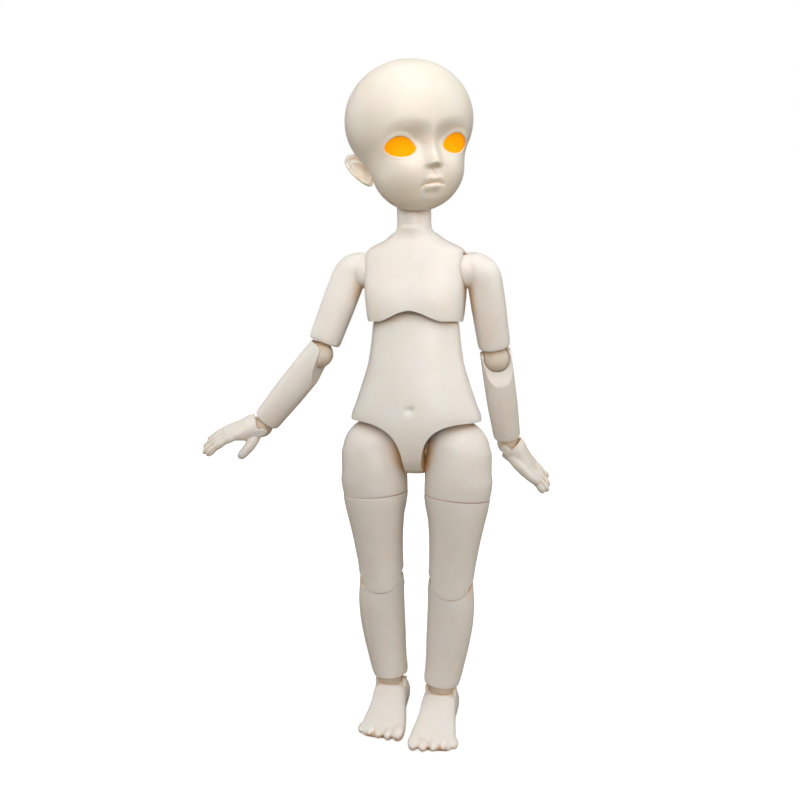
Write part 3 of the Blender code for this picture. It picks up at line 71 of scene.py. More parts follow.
# %% Joint places and angles
GAP = 0.3
ANKLE_Z = 12.8
SHIN = 42.8
THIGH = 60.0
SEAM_DROP = 19.0
LEAN, TWIST, FOOT_TURN, STRIDE = 4.1, 10.5, 3.0, 1.3
HIP_X = 19.0
HIP_Z = ANKLE_Z + (SHIN + THIGH) * math.cos(math.radians(LEAN)) * math.cos(math.radians(STRIDE))
BELLY_LOW, BELLY_TALL = HIP_Z - 9.3, 70.8
WAIST_Z = BELLY_LOW + BELLY_TALL + 7.5
CHEST_LOW, CHEST_TALL = WAIST_Z - 13.0, 38.0
SHOULDER_X, SHOULDER_Z, SHOULDER_AIM = 21.8, WAIST_Z + 9.2, 6.0
NECK_FORWARD, NECK_TALL = 4.0, 12.8
NECK_TOP = CHEST_LOW + CHEST_TALL + NECK_TALL
NECK_Z = NECK_TOP + 5.4
ARM_OFFSET, ARM_RADIUS, UPPER_ARM, FOREARM = 7.7, 7.5, 42.2, 43.0
HEAD_TURN, HEAD_TILT = 32.0, 8.0
ARM_POSES = {
    "left": (18.5, 7.5, 12.0, -2.3, -27.5, 38.0),
    "right": (-5.5, 20.1, 91.0, -19.5, -48.0, 45.0),
}
SIDES = {"left": 1, "right": -1}


def turned(axis, degrees):
    """A turn about X, Y or Z as a 4 by 4 matrix: cosines on the diagonal, sines across it."""
    first, second = {"X": (1, 2), "Y": (2, 0), "Z": (0, 1)}[axis]
    angle = math.radians(degrees)
    matrix = np.eye(4)
    matrix[first, first] = matrix[second, second] = math.cos(angle)
    matrix[first, second] = -math.sin(angle)
    matrix[second, first] = math.sin(angle)
    return matrix


def moved(spot):
    """A move by a vector as a 4 by 4 matrix."""
    matrix = np.eye(4)
    matrix[:3, 3] = spot
    return matrix


joint_data = {joint["name"]: joint for joint in frame["record"]["behaviour"]["joints"]}
doll_place = np.array(joint_data["waist_turn"]["pos_m"]) / MM - np.array([0, 0, WAIST_Z])
frames = {"doll": moved(doll_place)}
straight = {"doll": np.zeros(3)}


def hang(name, spot, parent, axis="Z", degrees=0.0):
    """A joint's frame: its parent's frame, moved to its place in the straight doll, then turned."""
    spot = np.array(spot, float)
    frames[name] = frames[parent] @ moved(spot - straight[parent]) @ turned(axis, degrees)
    straight[name] = spot
    return frames[name]


neck_spot = (0, -NECK_FORWARD, NECK_Z)
hang("head_turn", neck_spot, "doll", "Z", HEAD_TURN)
hang("head", neck_spot, "head_turn", "Y", -HEAD_TILT)
for word, side in SIDES.items():
    swing, spread, swivel, bend, wrist_turn, wrist_bend = ARM_POSES[word]
    shoulder = (side * SHOULDER_X, 0, SHOULDER_Z)
    elbow = (shoulder[0] + side * ARM_OFFSET, 0, SHOULDER_Z - UPPER_ARM)
    wrist = (elbow[0], 0, elbow[2] - FOREARM)
    hang(word + "_aim", shoulder, "doll", "Z", side * SHOULDER_AIM)
    hang(word + "_swing", shoulder, word + "_aim", "X", swing)
    hang(word + "_arm", shoulder, word + "_swing", "Y", -side * spread)
    hang(word + "_elbow", elbow, word + "_arm", "Z", swivel)
    hang(word + "_forearm", elbow, word + "_elbow", "X", -bend)
    hang(word + "_wrist", wrist, word + "_forearm", "Z", wrist_turn)
    hang(word + "_hand", wrist, word + "_wrist", "Y", -side * wrist_bend)
    hip = (side * HIP_X, 0, HIP_Z)
    knee = (hip[0], 0, HIP_Z - THIGH)
    ankle = (hip[0], 0, knee[2] - SHIN)
    hang(word + "_hip", hip, "doll", "X", -side * STRIDE)
    hang(word + "_thigh", hip, word + "_hip", "Y", side * LEAN)
    hang(word + "_knee", hip, word + "_thigh", "Z", TWIST)
    hang(word + "_shin", knee, word + "_knee")
    hang(word + "_ankle", ankle, word + "_shin", "Z", FOOT_TURN - TWIST)
    frames[word + "_foot"] = moved(frames[word + "_ankle"][:3, 3]) @ turned("Z", FOOT_TURN)

for name, joint in (("left_forearm", "left_elbow_bend"), ("right_hand", "right_wrist_bend"),
                    ("left_foot", "left_ankle_bend"), ("head", "head_tilt")):
    off = np.linalg.norm(frames[name][:3, 3] - np.array(joint_data[joint]["pos_m"]) / MM)
    print(name, "is", round(float(off), 3), "mm from its joint in the packed model")

# %% [markdown]
# ## Camera
# The photograph was taken about a third of a metre away, level with the doll's chest and a little to
# its left, with the frame slid down so that the feet are in it. A shifted lens does the same.

# %% Camera
CAMERA_TURN = 12.5
CAMERA_REACH = 339.5
CAMERA_HEIGHT = 172.0
FOCAL_PIXELS, PICTURE = 776.0, 800.0
AXIS_PIXEL, HORIZON_PIXEL = 415.9, 320.0
SENSOR = 36.0

lens = bpy.data.cameras.new("photograph_camera")
lens.sensor_width = SENSOR
lens.lens = SENSOR * FOCAL_PIXELS / PICTURE
lens.shift_x = (PICTURE / 2 - AXIS_PIXEL) / PICTURE
lens.shift_y = (HORIZON_PIXEL - PICTURE / 2) / PICTURE
lens.clip_start = 0.01
camera = bpy.data.objects.new("photograph_camera", lens)
bpy.context.collection.objects.link(camera)
angle = math.radians(CAMERA_TURN)
camera.location = tuple(MM * (doll_place + np.array([
    CAMERA_REACH * math.sin(angle), -CAMERA_REACH * math.cos(angle), CAMERA_HEIGHT])))
camera.rotation_euler = (math.pi / 2, 0, angle)
bpy.context.scene.camera = camera
print("lens", round(lens.lens, 1), "mm, shifts", round(lens.shift_x, 3), round(lens.shift_y, 3))

# %% [markdown]
# ## Finishes
# The outside is injection-moulded vinyl in cream: satin, very slightly translucent, with a faint
# unevenness of colour from the moulding. Narrow gaps look warm, as the plastic passes a little light
# on to itself there; that warmth is painted into their colour as shade. The joint balls are the same
# plastic a touch darker, with painted shade where they sit in their seats. The pins are plain steel
# wire and the eye blanks are flat orange plastic with a painted glow.

# %% Colours and material nodes
# Painted shade: the warm tan mixed into narrow gaps, and how far out the gaps are looked for
CREASE_SHADE_COLOUR, CREASE_SHADE_REACH = "#D9A866", 0.007


def linear(code):
    """A hex colour as linear red, green, blue and alpha: each share below 0.04045 is divided by
    12.92, and each above is raised to 2.4 after an offset."""
    shares = np.array([int(code[i:i + 2], 16) for i in (1, 3, 5)]) / 255
    low = shares / 12.92
    high = ((shares + 0.055) / 1.055) ** 2.4
    return (*np.where(shares <= 0.04045, low, high).tolist(), 1.0)


def node(tree, kind, settings=None, **links):
    """Adds a node, sets its properties and sockets, and links sockets of other nodes into it."""
    item = tree.nodes.new(kind)
    for key, value in (settings or {}).items():
        if key in item.inputs:
            item.inputs[key].default_value = value
        else:
            setattr(item, key, value)
    for key, source in links.items():
        tree.links.new(source, item.inputs[key.replace("_", " ")])
    return item


def moulded_plastic(name, colour, deeper, roughness, grain=0.0, translucent=0.0, painted_crease_shade=0.0):
    """Plastic from a mould: two close colours mixed by slow noise, and a fine skin from the steel. Its
    narrow gaps, found by how much of their sky is hidden, get a painted warm shade mixed into the
    colour."""
    material = bpy.data.materials.new(name)
    material.use_nodes = True
    tree = material.node_tree
    shader = tree.nodes["Principled BSDF"]
    place = node(tree, "ShaderNodeTexCoord").outputs["Object"]
    cloud = node(tree, "ShaderNodeTexNoise", {"Scale": 90.0, "Detail": 3.0, "Roughness": 0.5}, Vector=place)
    ramp = node(tree, "ShaderNodeValToRGB", Fac=cloud.outputs["Fac"])
    ramp.color_ramp.elements[0].position = 0.35
    ramp.color_ramp.elements[1].position = 0.65
    ramp.color_ramp.elements[0].color = linear(deeper)
    ramp.color_ramp.elements[1].color = linear(colour)
    # Painted shade: where the occlusion finds a narrow gap, the base colour is mixed toward a warm tan
    crease_shade = node(tree, "ShaderNodeAmbientOcclusion", {"Distance": CREASE_SHADE_REACH, "samples": 8})
    shade_range = {"From Min": 0.25, "From Max": 0.85, "To Min": painted_crease_shade, "To Max": 0.0}
    depth = node(tree, "ShaderNodeMapRange", shade_range, Value=crease_shade.outputs["AO"])
    shade_tint = node(tree, "ShaderNodeMix", {"data_type": "RGBA"})
    shade_tint.inputs[7].default_value = linear(CREASE_SHADE_COLOUR)
    tree.links.new(depth.outputs["Result"], shade_tint.inputs[0])
    tree.links.new(ramp.outputs["Color"], shade_tint.inputs[6])
    tree.links.new(shade_tint.outputs[2], shader.inputs["Base Color"])
    gloss = node(tree, "ShaderNodeMapRange", {"To Min": roughness - 0.03, "To Max": roughness + 0.04},
                 Value=cloud.outputs["Fac"])
    tree.links.new(gloss.outputs["Result"], shader.inputs["Roughness"])
    if grain:
        skin_noise = node(tree, "ShaderNodeTexNoise", {"Scale": 1600.0, "Detail": 2.0}, Vector=place)
        bump = node(tree, "ShaderNodeBump", {"Strength": grain, "Distance": 0.00004},
                    Height=skin_noise.outputs["Fac"])
        tree.links.new(bump.outputs["Normal"], shader.inputs["Normal"])
    shader.inputs["IOR"].default_value = 1.5
    shader.inputs["Subsurface Weight"].default_value = translucent
    shader.inputs["Subsurface Radius"].default_value = (1.0, 0.68, 0.44)
    shader.inputs["Subsurface Scale"].default_value = 0.0024
    return material


# Cream vinyl of the body: satin and a little see-through, so its shadows run warm, with painted warm shade in
# its gaps
body_vinyl = moulded_plastic("cream_vinyl", "#F5EFE7", "#F3EBE1", 0.44, 0.25, 0.3, 0.75)
# The head is cast in the same vinyl a shade yellower and a little more see-through, with less painted shade
# in its gaps
head_vinyl = moulded_plastic("head_vinyl", "#F7EEE1", "#F5EADA", 0.46, 0.2, 0.4, 0.5)
# Joint balls: the same vinyl a shade darker, with painted warm shade where they sit in their seats
joint_vinyl = moulded_plastic("joint_vinyl", "#E6DBCB", "#DDD0BC", 0.40, 0.25, 0.2, 0.4)
# Orange blanks: flat orange plastic that hardly shines, given a painted glow so that it stays bright in the
# lids' shade
orange_plastic = moulded_plastic("orange_plastic", "#FFA800", "#FCA200", 0.8)
# Painted glow: the blanks emit a little orange light of their own
glow = orange_plastic.node_tree.nodes["Principled BSDF"].inputs
glow["Emission Color"].default_value = linear("#FFA400")
glow["Emission Strength"].default_value = 0.3
glow["Specular IOR Level"].default_value = 0.1


def steel_wire(name):
    """Bright drawn steel: a metal with fine streaks in its roughness."""
    material = bpy.data.materials.new(name)
    material.use_nodes = True
    tree = material.node_tree
    shader = tree.nodes["Principled BSDF"]
    shader.inputs["Base Color"].default_value = linear("#B9B9BA")
    shader.inputs["Metallic"].default_value = 1.0
    place = node(tree, "ShaderNodeTexCoord").outputs["Object"]
    streak = node(tree, "ShaderNodeTexNoise", {"Scale": 900.0}, Vector=place)
    gloss = node(tree, "ShaderNodeMapRange", {"To Min": 0.22, "To Max": 0.38}, Value=streak.outputs["Fac"])
    tree.links.new(gloss.outputs["Result"], shader.inputs["Roughness"])
    return material


drawn_steel = steel_wire("drawn_steel")
SLOT_FINISHES = {"body_plastic": body_vinyl, "joint_plastic": joint_vinyl, "eye_plastic": orange_plastic,
                 "steel": drawn_steel}
print("finishes:", [material.name for material in SLOT_FINISHES.values()] + [head_vinyl.name])

# %% [markdown]
# ## Surfaces from grids
# Every new piece starts as rings of points, one ring above another, worked out as one numpy array.
# A helper joins the rings with four-sided faces and closes both ends. Sockets, slots and openings are
# then carved out, as the mould's cores do on the real pieces.

# %% Rings into meshes


def smooth_rows(table, heights):
    """Rows of a table read at new heights along a cubic. The slope at each row is the harmonic mean
    of the slopes on its two sides, or zero at a turning point, so that nothing overshoots."""
    table = np.asarray(table, float)
    table = table[np.argsort(table[:, 0])]
    known, values = table[:, 0], table[:, 1:]
    gap = np.diff(known)[:, None]
    slope = np.diff(values, axis=0) / gap
    product = slope[1:] * slope[:-1]
    total = slope[1:] + slope[:-1]
    inner = np.where(product > 0, 2 * product / np.where(total == 0, 1, total), 0)
    tangent = np.vstack([slope[:1], inner, slope[-1:]])
    i = np.clip(np.searchsorted(known, heights) - 1, 0, len(known) - 2)
    t = ((heights - known[i]) / gap[i, 0])[:, None]
    return ((2 * t ** 3 - 3 * t ** 2 + 1) * values[i] + (t ** 3 - 2 * t ** 2 + t) * gap[i] * tangent[i]
            + (3 * t ** 2 - 2 * t ** 3) * values[i + 1] + (t ** 3 - t ** 2) * gap[i] * tangent[i + 1])


def between(table, steps):
    """Heights from a table's lowest row to its highest."""
    heights = np.array(table)[:, 0]
    return np.linspace(heights.min(), heights.max(), steps)


def limb_rings(table, heights, sides=96, squareness=2.0):
    """Rings of a limb. Each table row is height, half-width, front, back, and the middle's x and y.
    A ring is a superellipse: cosine and sine, each to the power 2 over the squareness, which may be
    one number or one for each height."""
    width, front, back, middle_x, middle_y = smooth_rows(table, heights).T[:, :, None]
    around = np.arange(sides)[None, :] / sides * 2 * math.pi
    cosine, sine = np.cos(around), np.sin(around)
    power = 2 / np.reshape(squareness, (-1, 1))
    x = width * np.sign(cosine) * np.abs(cosine) ** power + middle_x
    y = np.where(sine > 0, back, front) * np.sign(sine) * np.abs(sine) ** power + middle_y
    return np.stack([x, y, np.broadcast_to(heights[:, None], x.shape)], axis=-1)


def ball_rings(radius, sides=64, rings=40, stretch=(1, 1, 1)):
    """Rings of a ball: cosine and sine of the latitude times the radius, stretched along each axis."""
    lift = np.linspace(-math.pi / 2, math.pi / 2, rings + 2)[1:-1, None]
    around = np.arange(sides)[None, :] / sides * 2 * math.pi
    points = np.stack([np.cos(lift) * np.cos(around), np.cos(lift) * np.sin(around),
                       np.sin(lift) * np.ones_like(around)], axis=-1)
    return points * radius * np.array(stretch)


def tube_rings(path, radii, sides=24, flatten=1.0, across=(0.0, 1.0, 0.0)):
    """Rings along a path: at each point two directions square to the path carry a circle."""
    path = np.asarray(path, float)
    along = np.gradient(path, axis=0)
    along /= np.linalg.norm(along, axis=1, keepdims=True)
    second = np.cross(along, np.array(across))
    second /= np.linalg.norm(second, axis=1, keepdims=True)
    first = np.cross(second, along)
    around = np.arange(sides) / sides * 2 * math.pi
    circle = (np.cos(around)[None, :, None] * first[:, None, :]
              + flatten * np.sin(around)[None, :, None] * second[:, None, :])
    return path[:, None, :] + np.asarray(radii)[:, None, None] * circle


def prism_rings(outline, plane, low, high):
    """Two rings: an outline in the named plane at both ends of its push along the third axis."""
    first, second, third = {"xz": (0, 2, 1), "yz": (1, 2, 0), "xy": (0, 1, 2)}[plane]
    outline = np.asarray(outline, float)
    rings = np.zeros((2, len(outline), 3))
    rings[:, :, first] = outline[:, 0]
    rings[:, :, second] = outline[:, 1]
    rings[:, :, third] = np.array([[low], [high]])
    return rings


def block_rings(low, high):
    """A box between two corners, as two square rings."""
    outline = [(low[0], low[1]), (high[0], low[1]), (high[0], high[1]), (low[0], high[1])]
    return prism_rings(outline, "xy", low[2], high[2])


def aimed(rings, start, end):
    """Rings laid out along Z from the origin, turned to run from one point towards another."""
    start, end = np.array(start, float), np.array(end, float)
    along = (end - start) / np.linalg.norm(end - start)
    spare = np.array([0.0, 1.0, 0.0]) if abs(along[1]) < 0.9 else np.array([1.0, 0.0, 0.0])
    first = np.cross(spare, along)
    first /= np.linalg.norm(first)
    basis = np.stack([first, np.cross(along, first), along])
    return rings @ basis + start


def rod_rings(radius, start, end, sides=32):
    """A round bar between two points."""
    length = float(np.linalg.norm(np.array(end, float) - np.array(start, float)))
    around = np.arange(sides) / sides * 2 * math.pi + 0.05
    circle = np.stack([np.cos(around), np.sin(around), np.zeros(sides)], axis=-1) * radius
    return aimed(np.stack([circle, circle + np.array([0, 0, length])]), start, end)


def posed(points, matrix):
    """Points carried by a 4 by 4 matrix."""
    return points @ matrix[:3, :3].T + matrix[:3, 3]


def skin(name, rings, matrix=np.eye(4)):
    """A closed mesh through rings of points, its ends flat faces, its sides turned outward."""
    rings = posed(np.asarray(rings, float), matrix) * MM
    count, sides = rings.shape[:2]
    i = np.arange(count - 1)[:, None]
    j = np.arange(sides)[None, :]
    k = (j + 1) % sides
    faces = np.stack([i * sides + j, i * sides + k, (i + 1) * sides + k, (i + 1) * sides + j], axis=-1)
    faces = faces.reshape(-1, 4).tolist() + [list(range(sides))[::-1],
                                             list(range((count - 1) * sides, count * sides))]
    mesh = bpy.data.meshes.new(name)
    mesh.from_pydata(rings.reshape(-1, 3).tolist(), [], faces)
    shape = bmesh.new()
    shape.from_mesh(mesh)
    bmesh.ops.recalc_face_normals(shape, faces=shape.faces)
    shape.to_mesh(mesh)
    shape.free()
    item = bpy.data.objects.new(name, mesh)
    bpy.context.collection.objects.link(item)
    return item


def settle(piece, sharp=40):
    """Applies a piece's modifiers to its mesh, shades it smooth and keeps its real edges crisp."""
    view = bpy.context.evaluated_depsgraph_get()
    mesh = bpy.data.meshes.new_from_object(piece.evaluated_get(view))
    old = piece.data
    piece.modifiers.clear()
    piece.data = mesh
    bpy.data.meshes.remove(old)
    mesh.shade_smooth()
    mesh.set_sharp_from_angle(angle=math.radians(sharp))


def carve(piece, tools, operation="DIFFERENCE"):
    """Cuts tools from a piece, or joins them on, and throws the tools away."""
    for tool in tools:
        step = piece.modifiers.new(tool.name, "BOOLEAN")
        step.operation = operation
        step.solver = "MANIFOLD"
        step.object = tool
    settle(piece)
    for tool in tools:
        old = tool.data
        bpy.data.objects.remove(tool)
        bpy.data.meshes.remove(old)


def fuse(piece, voxel, smoothing):
    """Melts overlapping forms of one mesh into one skin, then eases the creases between them."""
    step = piece.modifiers.new("melt", "REMESH")
    step.mode = "VOXEL"
    step.voxel_size = voxel * MM
    ease = piece.modifiers.new("ease", "SMOOTH")
    ease.factor = 0.5
    ease.iterations = smoothing
    settle(piece, 180)


def merge(name, many_rings, matrix):
    """Several closed forms as one mesh."""
    parts = [skin(name + "_form", rings, matrix) for rings in many_rings]
    shape = bmesh.new()
    for part in parts:
        shape.from_mesh(part.data)
        bpy.data.objects.remove(part)
    mesh = bpy.data.meshes.new(name)
    shape.to_mesh(mesh)
    shape.free()
    item = bpy.data.objects.new(name, mesh)
    bpy.context.collection.objects.link(item)
    return item


def wear(piece, body, nodes, finish):
    """Gives a finished piece its finish, the body that it rides on and the nodes that it stands for."""
    piece.data.materials.clear()
    piece.data.materials.append(finish)
    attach(piece, body)
    if nodes:
        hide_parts(*nodes)
    print(piece.name, "faces:", len(piece.data.polygons))


# %% [markdown]
# ## Belly and hips
# The lower torso is two thin shells that meet at the sides. Each thigh's round top turns in an arched
# opening, and the narrow web between the arches carries the hip joints. The outside is one loft, and
# the arches are cut straight through from front to back.

# %% Belly
BELLY_ROWS = (
    (0.0, 0.20, 0.42, 0.44),
    (0.03, 0.34, 0.66, 0.70),
    (0.10, 0.55, 0.90, 0.98),
    (0.20, 0.80, 1.03, 1.12),
    (0.285, 0.98, 1.06, 1.13),
    (0.335, 1.0, 1.06, 1.08),
    (0.42, 0.93, 1.03, 0.98),
    (0.53, 0.84, 0.96, 0.86),
    (0.67, 0.735, 0.86, 0.76),
    (0.80, 0.685, 0.79, 0.71),
    (0.89, 0.665, 0.735, 0.64),
    (0.917, 0.655, 0.73, 0.63),
    (0.932, 0.60, 0.72, 0.59),
    (0.96, 0.54, 0.68, 0.53),
    (0.985, 0.44, 0.56, 0.44),
    (1.0, 0.26, 0.34, 0.26),
)
HIP_WIDTH, BELLY_DEPTH, WALL = 57.6, 29.0, 1.5
WEB, WEB_SHIFT, WEB_HOLE, WAIST_HOLE = 7.6, 0.8, 2.7, 2.9
ARCH_POWER = 2 / 2.9
NAVEL = (1.0, 134.0)
OPENING_TOP = HIP_Z + 13.2
FAR = 60.0


def belly_rings(inset, sides, steps):
    """The belly's rings between crotch and top, each drawn in by the wall for the hollow."""
    table = np.array(BELLY_ROWS)
    rows = np.zeros((len(table), 6))
    rows[:, 0] = BELLY_LOW + inset + table[:, 0] * (BELLY_TALL - 2 * inset)
    rows[:, 1] = np.maximum(table[:, 1] * HIP_WIDTH / 2 - inset, inset)
    rows[:, 2] = np.maximum(table[:, 2] * BELLY_DEPTH / 2 - inset, inset)
    rows[:, 3] = np.maximum(table[:, 3] * BELLY_DEPTH / 2 - inset, inset)
    share = 0.5 - 0.5 * np.cos(np.linspace(0, math.pi, steps))
    heights = rows[0, 0] + share * (rows[-1, 0] - rows[0, 0])
    return limb_rings(rows, heights, sides, 2.3)


def dented(rings, middle, size, depth, front=True):
    """Pushes points in, or out for a negative depth, by a bell curve round a middle in x and z."""
    x = (rings[..., 0] - middle[0]) / size[0]
    z = (rings[..., 2] - middle[1]) / size[1]
    bell = depth * np.exp(-0.5 * (x ** 2 + z ** 2))
    facing = rings[..., 1] < 0 if front else rings[..., 1] > 0
    out = rings.copy()
    out[..., 1] += np.where(facing, bell if front else -bell, 0)
    return out


def leg_arch(side):
    """The arch over one thigh: a quarter of a superellipse with a power of 2.9, which runs straight
    up the web, turns sharply and runs out to the hip's corner."""
    inner, outer = WEB / 2 + side * WEB_SHIFT, HIP_WIDTH / 2
    angle = np.linspace(0, math.pi / 2, 61)
    x = outer - (outer - inner) * np.cos(angle) ** ARCH_POWER
    z = BELLY_LOW + (OPENING_TOP - BELLY_LOW) * np.sin(angle) ** ARCH_POWER
    points = [(inner, BELLY_LOW - 2), *zip(x, z), (outer + 2, OPENING_TOP), (outer + 2, BELLY_LOW - 2)]
    return prism_rings([(side * px, pz) for px, pz in points], "xz", -FAR, FAR)


def split_block(front):
    """The half space on the far side of the seam that runs down the doll's sides."""
    return block_rings((-FAR, -GAP / 2, -5), (FAR, FAR, 320)) if front else \
        block_rings((-FAR, -FAR, -5), (FAR, GAP / 2, 320))


def belly_half(word, front):
    """One moulded half of the belly."""
    home = frames["doll"]
    rings = belly_rings(0.0, 192, 140)
    rings = dented(rings, NAVEL, (0.8, 1.0), 1.3)
    rings = dented(rings, NAVEL, (2.6, 2.4), 0.3)
    half = skin(word, rings, home)
    hollow = skin("belly_hollow", belly_rings(WALL, 96, 60), home)
    web_low, web_high = (-WEB / 2, -FAR, BELLY_LOW - 2), (WEB / 2 + WEB_SHIFT, FAR, (OPENING_TOP + HIP_Z) / 2)
    carve(hollow, [skin("web_form", block_rings(web_low, web_high), home)])
    carve(half, [hollow])
    tools = [skin("arch", leg_arch(side), home) for side in SIDES.values()]
    tools.append(skin("split", split_block(front), home))
    tools += [skin("peg_hole", rod_rings(WEB_HOLE, (side * WEB_SHIFT, 0, HIP_Z), (side * 6, 0, HIP_Z)), home)
              for side in SIDES.values()]
    tools.append(skin("waist_hole", rod_rings(WAIST_HOLE, (0, 0, WAIST_Z - 19), (0, 0, WAIST_Z)), home))
    carve(half, tools)
    return half


for word, front in (("pelvis_front", True), ("pelvis_back", False)):
    wear(belly_half(word + "_shell", front), "pelvis", [word], body_vinyl)

# %% [markdown]
# ## Chest and neck
# The chest is a second split shell. Its lower edge hangs over the belly as two soft lobes with a
# raised arch between them, its sides take the round tops of the arms, and the neck is moulded on.

# %% Chest
CHEST_ROWS = (
    (0.0, 0.93, 1.03, 0.86, 0.0),
    (0.05, 0.95, 1.06, 0.90, 0.0),
    (0.20, 0.98, 1.09, 0.93, 0.0),
    (0.35, 1.0, 1.06, 0.94, 0.0),
    (0.50, 1.01, 0.96, 0.93, 0.0),
    (0.65, 1.01, 0.88, 0.90, 0.0),
    (0.77, 0.99, 0.82, 0.84, 0.0),
    (0.825, 0.95, 0.78, 0.80, 0.01),
    (0.87, 0.83, 0.73, 0.76, 0.03),
    (0.93, 0.62, 0.65, 0.68, 0.07),
    (1.0, 0.46, 0.58, 0.60, 0.16),
)
CHEST_SQUARE = ((0.0, 2.9), (0.4, 3.3), (0.75, 3.6), (0.87, 2.8), (1.0, 2.1), (1.4, 2.0))
NECK_ROWS = ((0.12, 1.07, 0.66), (0.28, 1.0, 0.75), (1.0, 1.0, 1.0))
CHEST_WIDTH, CHEST_DEPTH, CAVITY = 44.0, 27.0, 17.5
NECK_RADIUS, NECK_HOLE = 7.4, 2.9
ARCH_REACH, ARCH_RISE = 0.36, 4.8
BREAST, BREAST_SIZE, BREAST_FORWARD = (9.5, 10.5), (6.0, 6.5), 0.8
BALL = {"waist": 6.5, "shoulder": 7.7, "hub": 4.6, "neck": 5.6, "elbow": 6.0, "wrist": 5.0, "hip": 13.6,
        "hip_inner": 5.5, "knee": 9.3, "ankle": 5.0}


def seat(joint, spot, home):
    """The hollow that a joint's ball turns in, wider than the ball by the gap."""
    return skin(joint + "_seat", ball_rings(BALL[joint] + GAP) + spot, home)


def chest_table(inset=0.0):
    """Chest and neck rows in millimetres: height, half-width, front, back, middle x, middle y."""
    rows = [(CHEST_LOW + h * CHEST_TALL, w * CHEST_WIDTH / 2 - inset, f * CHEST_DEPTH / 2 - inset,
             b * CHEST_DEPTH / 2 - inset, 0, -m * CHEST_DEPTH / 2) for h, w, f, b, m in CHEST_ROWS]
    neck_low = CHEST_LOW + CHEST_TALL
    neck = [(neck_low + h * NECK_TALL, *(w * NECK_RADIUS,) * 3, 0, -m * NECK_FORWARD)
            for h, w, m in NECK_ROWS]
    return np.array(rows + neck)


def chest_arch():
    """The arch under the ribs: half a turn of a cosine on each side of the middle."""
    share = np.linspace(-1, 1, 61)
    reach = CHEST_WIDTH * ARCH_REACH
    rise = ARCH_RISE * (0.5 + 0.5 * np.cos(math.pi * share))
    points = [(-reach, CHEST_LOW - 2), *zip(share * reach, CHEST_LOW - GAP + rise), (reach, CHEST_LOW - 2)]
    return prism_rings(points, "xz", -FAR, 0)


def chest_half(word, front):
    """One moulded half of the chest with its half of the neck."""
    home = frames["doll"]
    table = chest_table()
    heights = between(table, 170)
    square = smooth_rows(CHEST_SQUARE, (heights - CHEST_LOW) / CHEST_TALL)[:, 0]
    rings = limb_rings(table, heights, 240, square)
    for side in SIDES.values():
        rings = dented(rings, (side * BREAST[0], CHEST_LOW + BREAST[1]), BREAST_SIZE, -BREAST_FORWARD)
    half = skin(word, rings, home)
    inner = chest_table(WALL)
    cavity_top = CHEST_LOW + CAVITY
    heights = np.linspace(CHEST_LOW, cavity_top - 1, 40)
    hollow = limb_rings(inner, heights, 96, 2.9)
    floor = hollow[:1] * (1, 1, 0) + (0, 0, CHEST_LOW - 2)
    roof = hollow[-1:] * (0.93, 0.9, 0) + (0, 0, cavity_top)
    neck_hole = rod_rings(NECK_HOLE, (0, -NECK_FORWARD, NECK_Z - 20), (0, -NECK_FORWARD, NECK_Z))
    tools = [skin("chest_hollow", np.concatenate([floor, hollow, roof]), home),
             skin("split", split_block(front), home), seat("waist", (0, 0, WAIST_Z), home),
             seat("neck", (0, -NECK_FORWARD, NECK_Z), home), skin("neck_hole", neck_hole, home)]
    tools += [seat("shoulder", (side * SHOULDER_X, 0, SHOULDER_Z), home) for side in SIDES.values()]
    if front:
        tools.append(skin("arch", chest_arch(), home))
    carve(half, tools)
    return half


for word, front in (("chest_front", True), ("chest_back", False)):
    wear(chest_half(word + "_shell", front), "chest", [word], body_vinyl)

# %% [markdown]
# ## Arms
# An upper arm is a tube whose round top sits in the chest's side socket, slotted for the peg that it
# spreads on. The elbow ball hangs on a peg in its lower end. The forearm's top is scooped out on one
# side, so that it can fold up against the upper arm.

# %% Upper arms and elbows
UPPER_ARM_ROWS = (
    (0.168, 0.34, 0.40), (0.125, 0.70, 0.50), (0.05, 0.95, 0.72), (-0.035, 1.04, 0.86),
    (-0.15, 1.01, 0.99), (-0.40, 1.01, 1.0), (-0.65, 0.98, 1.0), (-0.80, 0.96, 1.0),
    (-0.848, 0.93, 1.0), (-0.866, 0.86, 1.0),
)
FOREARM_ROWS = (
    (0.10, 0.90), (0.0, 0.92), (-0.25, 0.94), (-0.50, 0.93), (-0.75, 0.87), (-0.90, 0.83), (-0.915, 0.78),
)
SCOOP = ((-1.3, -1.9), (-1.0, -1.62), (-0.62, -0.95), (-0.36, -0.1), (-0.2, 0.36), (0.16, 0.48), (0.6, 0.4),
         (1.0, 0.34))
PIN_EAR = 1.8
PEGS = {"elbow": (1.8, 11.0), "wrist": (1.5, 11.0), "ankle": (2.0, 12.0)}
PEG_SLACK = 0.25
SLOT_LOW, ARM_SLOT_HIGH, ARM_SLOT_HALF, ARM_SLOT_REACH = -8, 84, 2.5, 20.0


def fan(side, low, high, half_width, reach):
    """The slot that a peg sweeps as a limb spreads: a fan from just below inward to above it."""
    first, last = math.radians(low), math.radians(high)
    lower = (-half_width * side * math.sin(first), -half_width * math.cos(first))
    upper = (half_width * side * math.sin(last), half_width * math.cos(last))
    sweep = np.linspace(first, last, 13)
    far = [(-side * reach * math.cos(a), reach * math.sin(a)) for a in sweep]
    return [lower, (far[0][0] + lower[0], far[0][1] + lower[1]), *far[1:-1],
            (far[-1][0] + upper[0], far[-1][1] + upper[1]), upper]


def pin_ears(plane, drop, reach):
    """A round-topped bar across a joint. The ball's seat cuts its middle away and leaves two ears."""
    sweep = np.linspace(math.pi, 0, 25)
    outline = [(-PIN_EAR, -drop), *zip(PIN_EAR * np.cos(sweep), PIN_EAR * np.sin(sweep)), (PIN_EAR, -drop)]
    return prism_rings(outline, plane, -reach, reach)


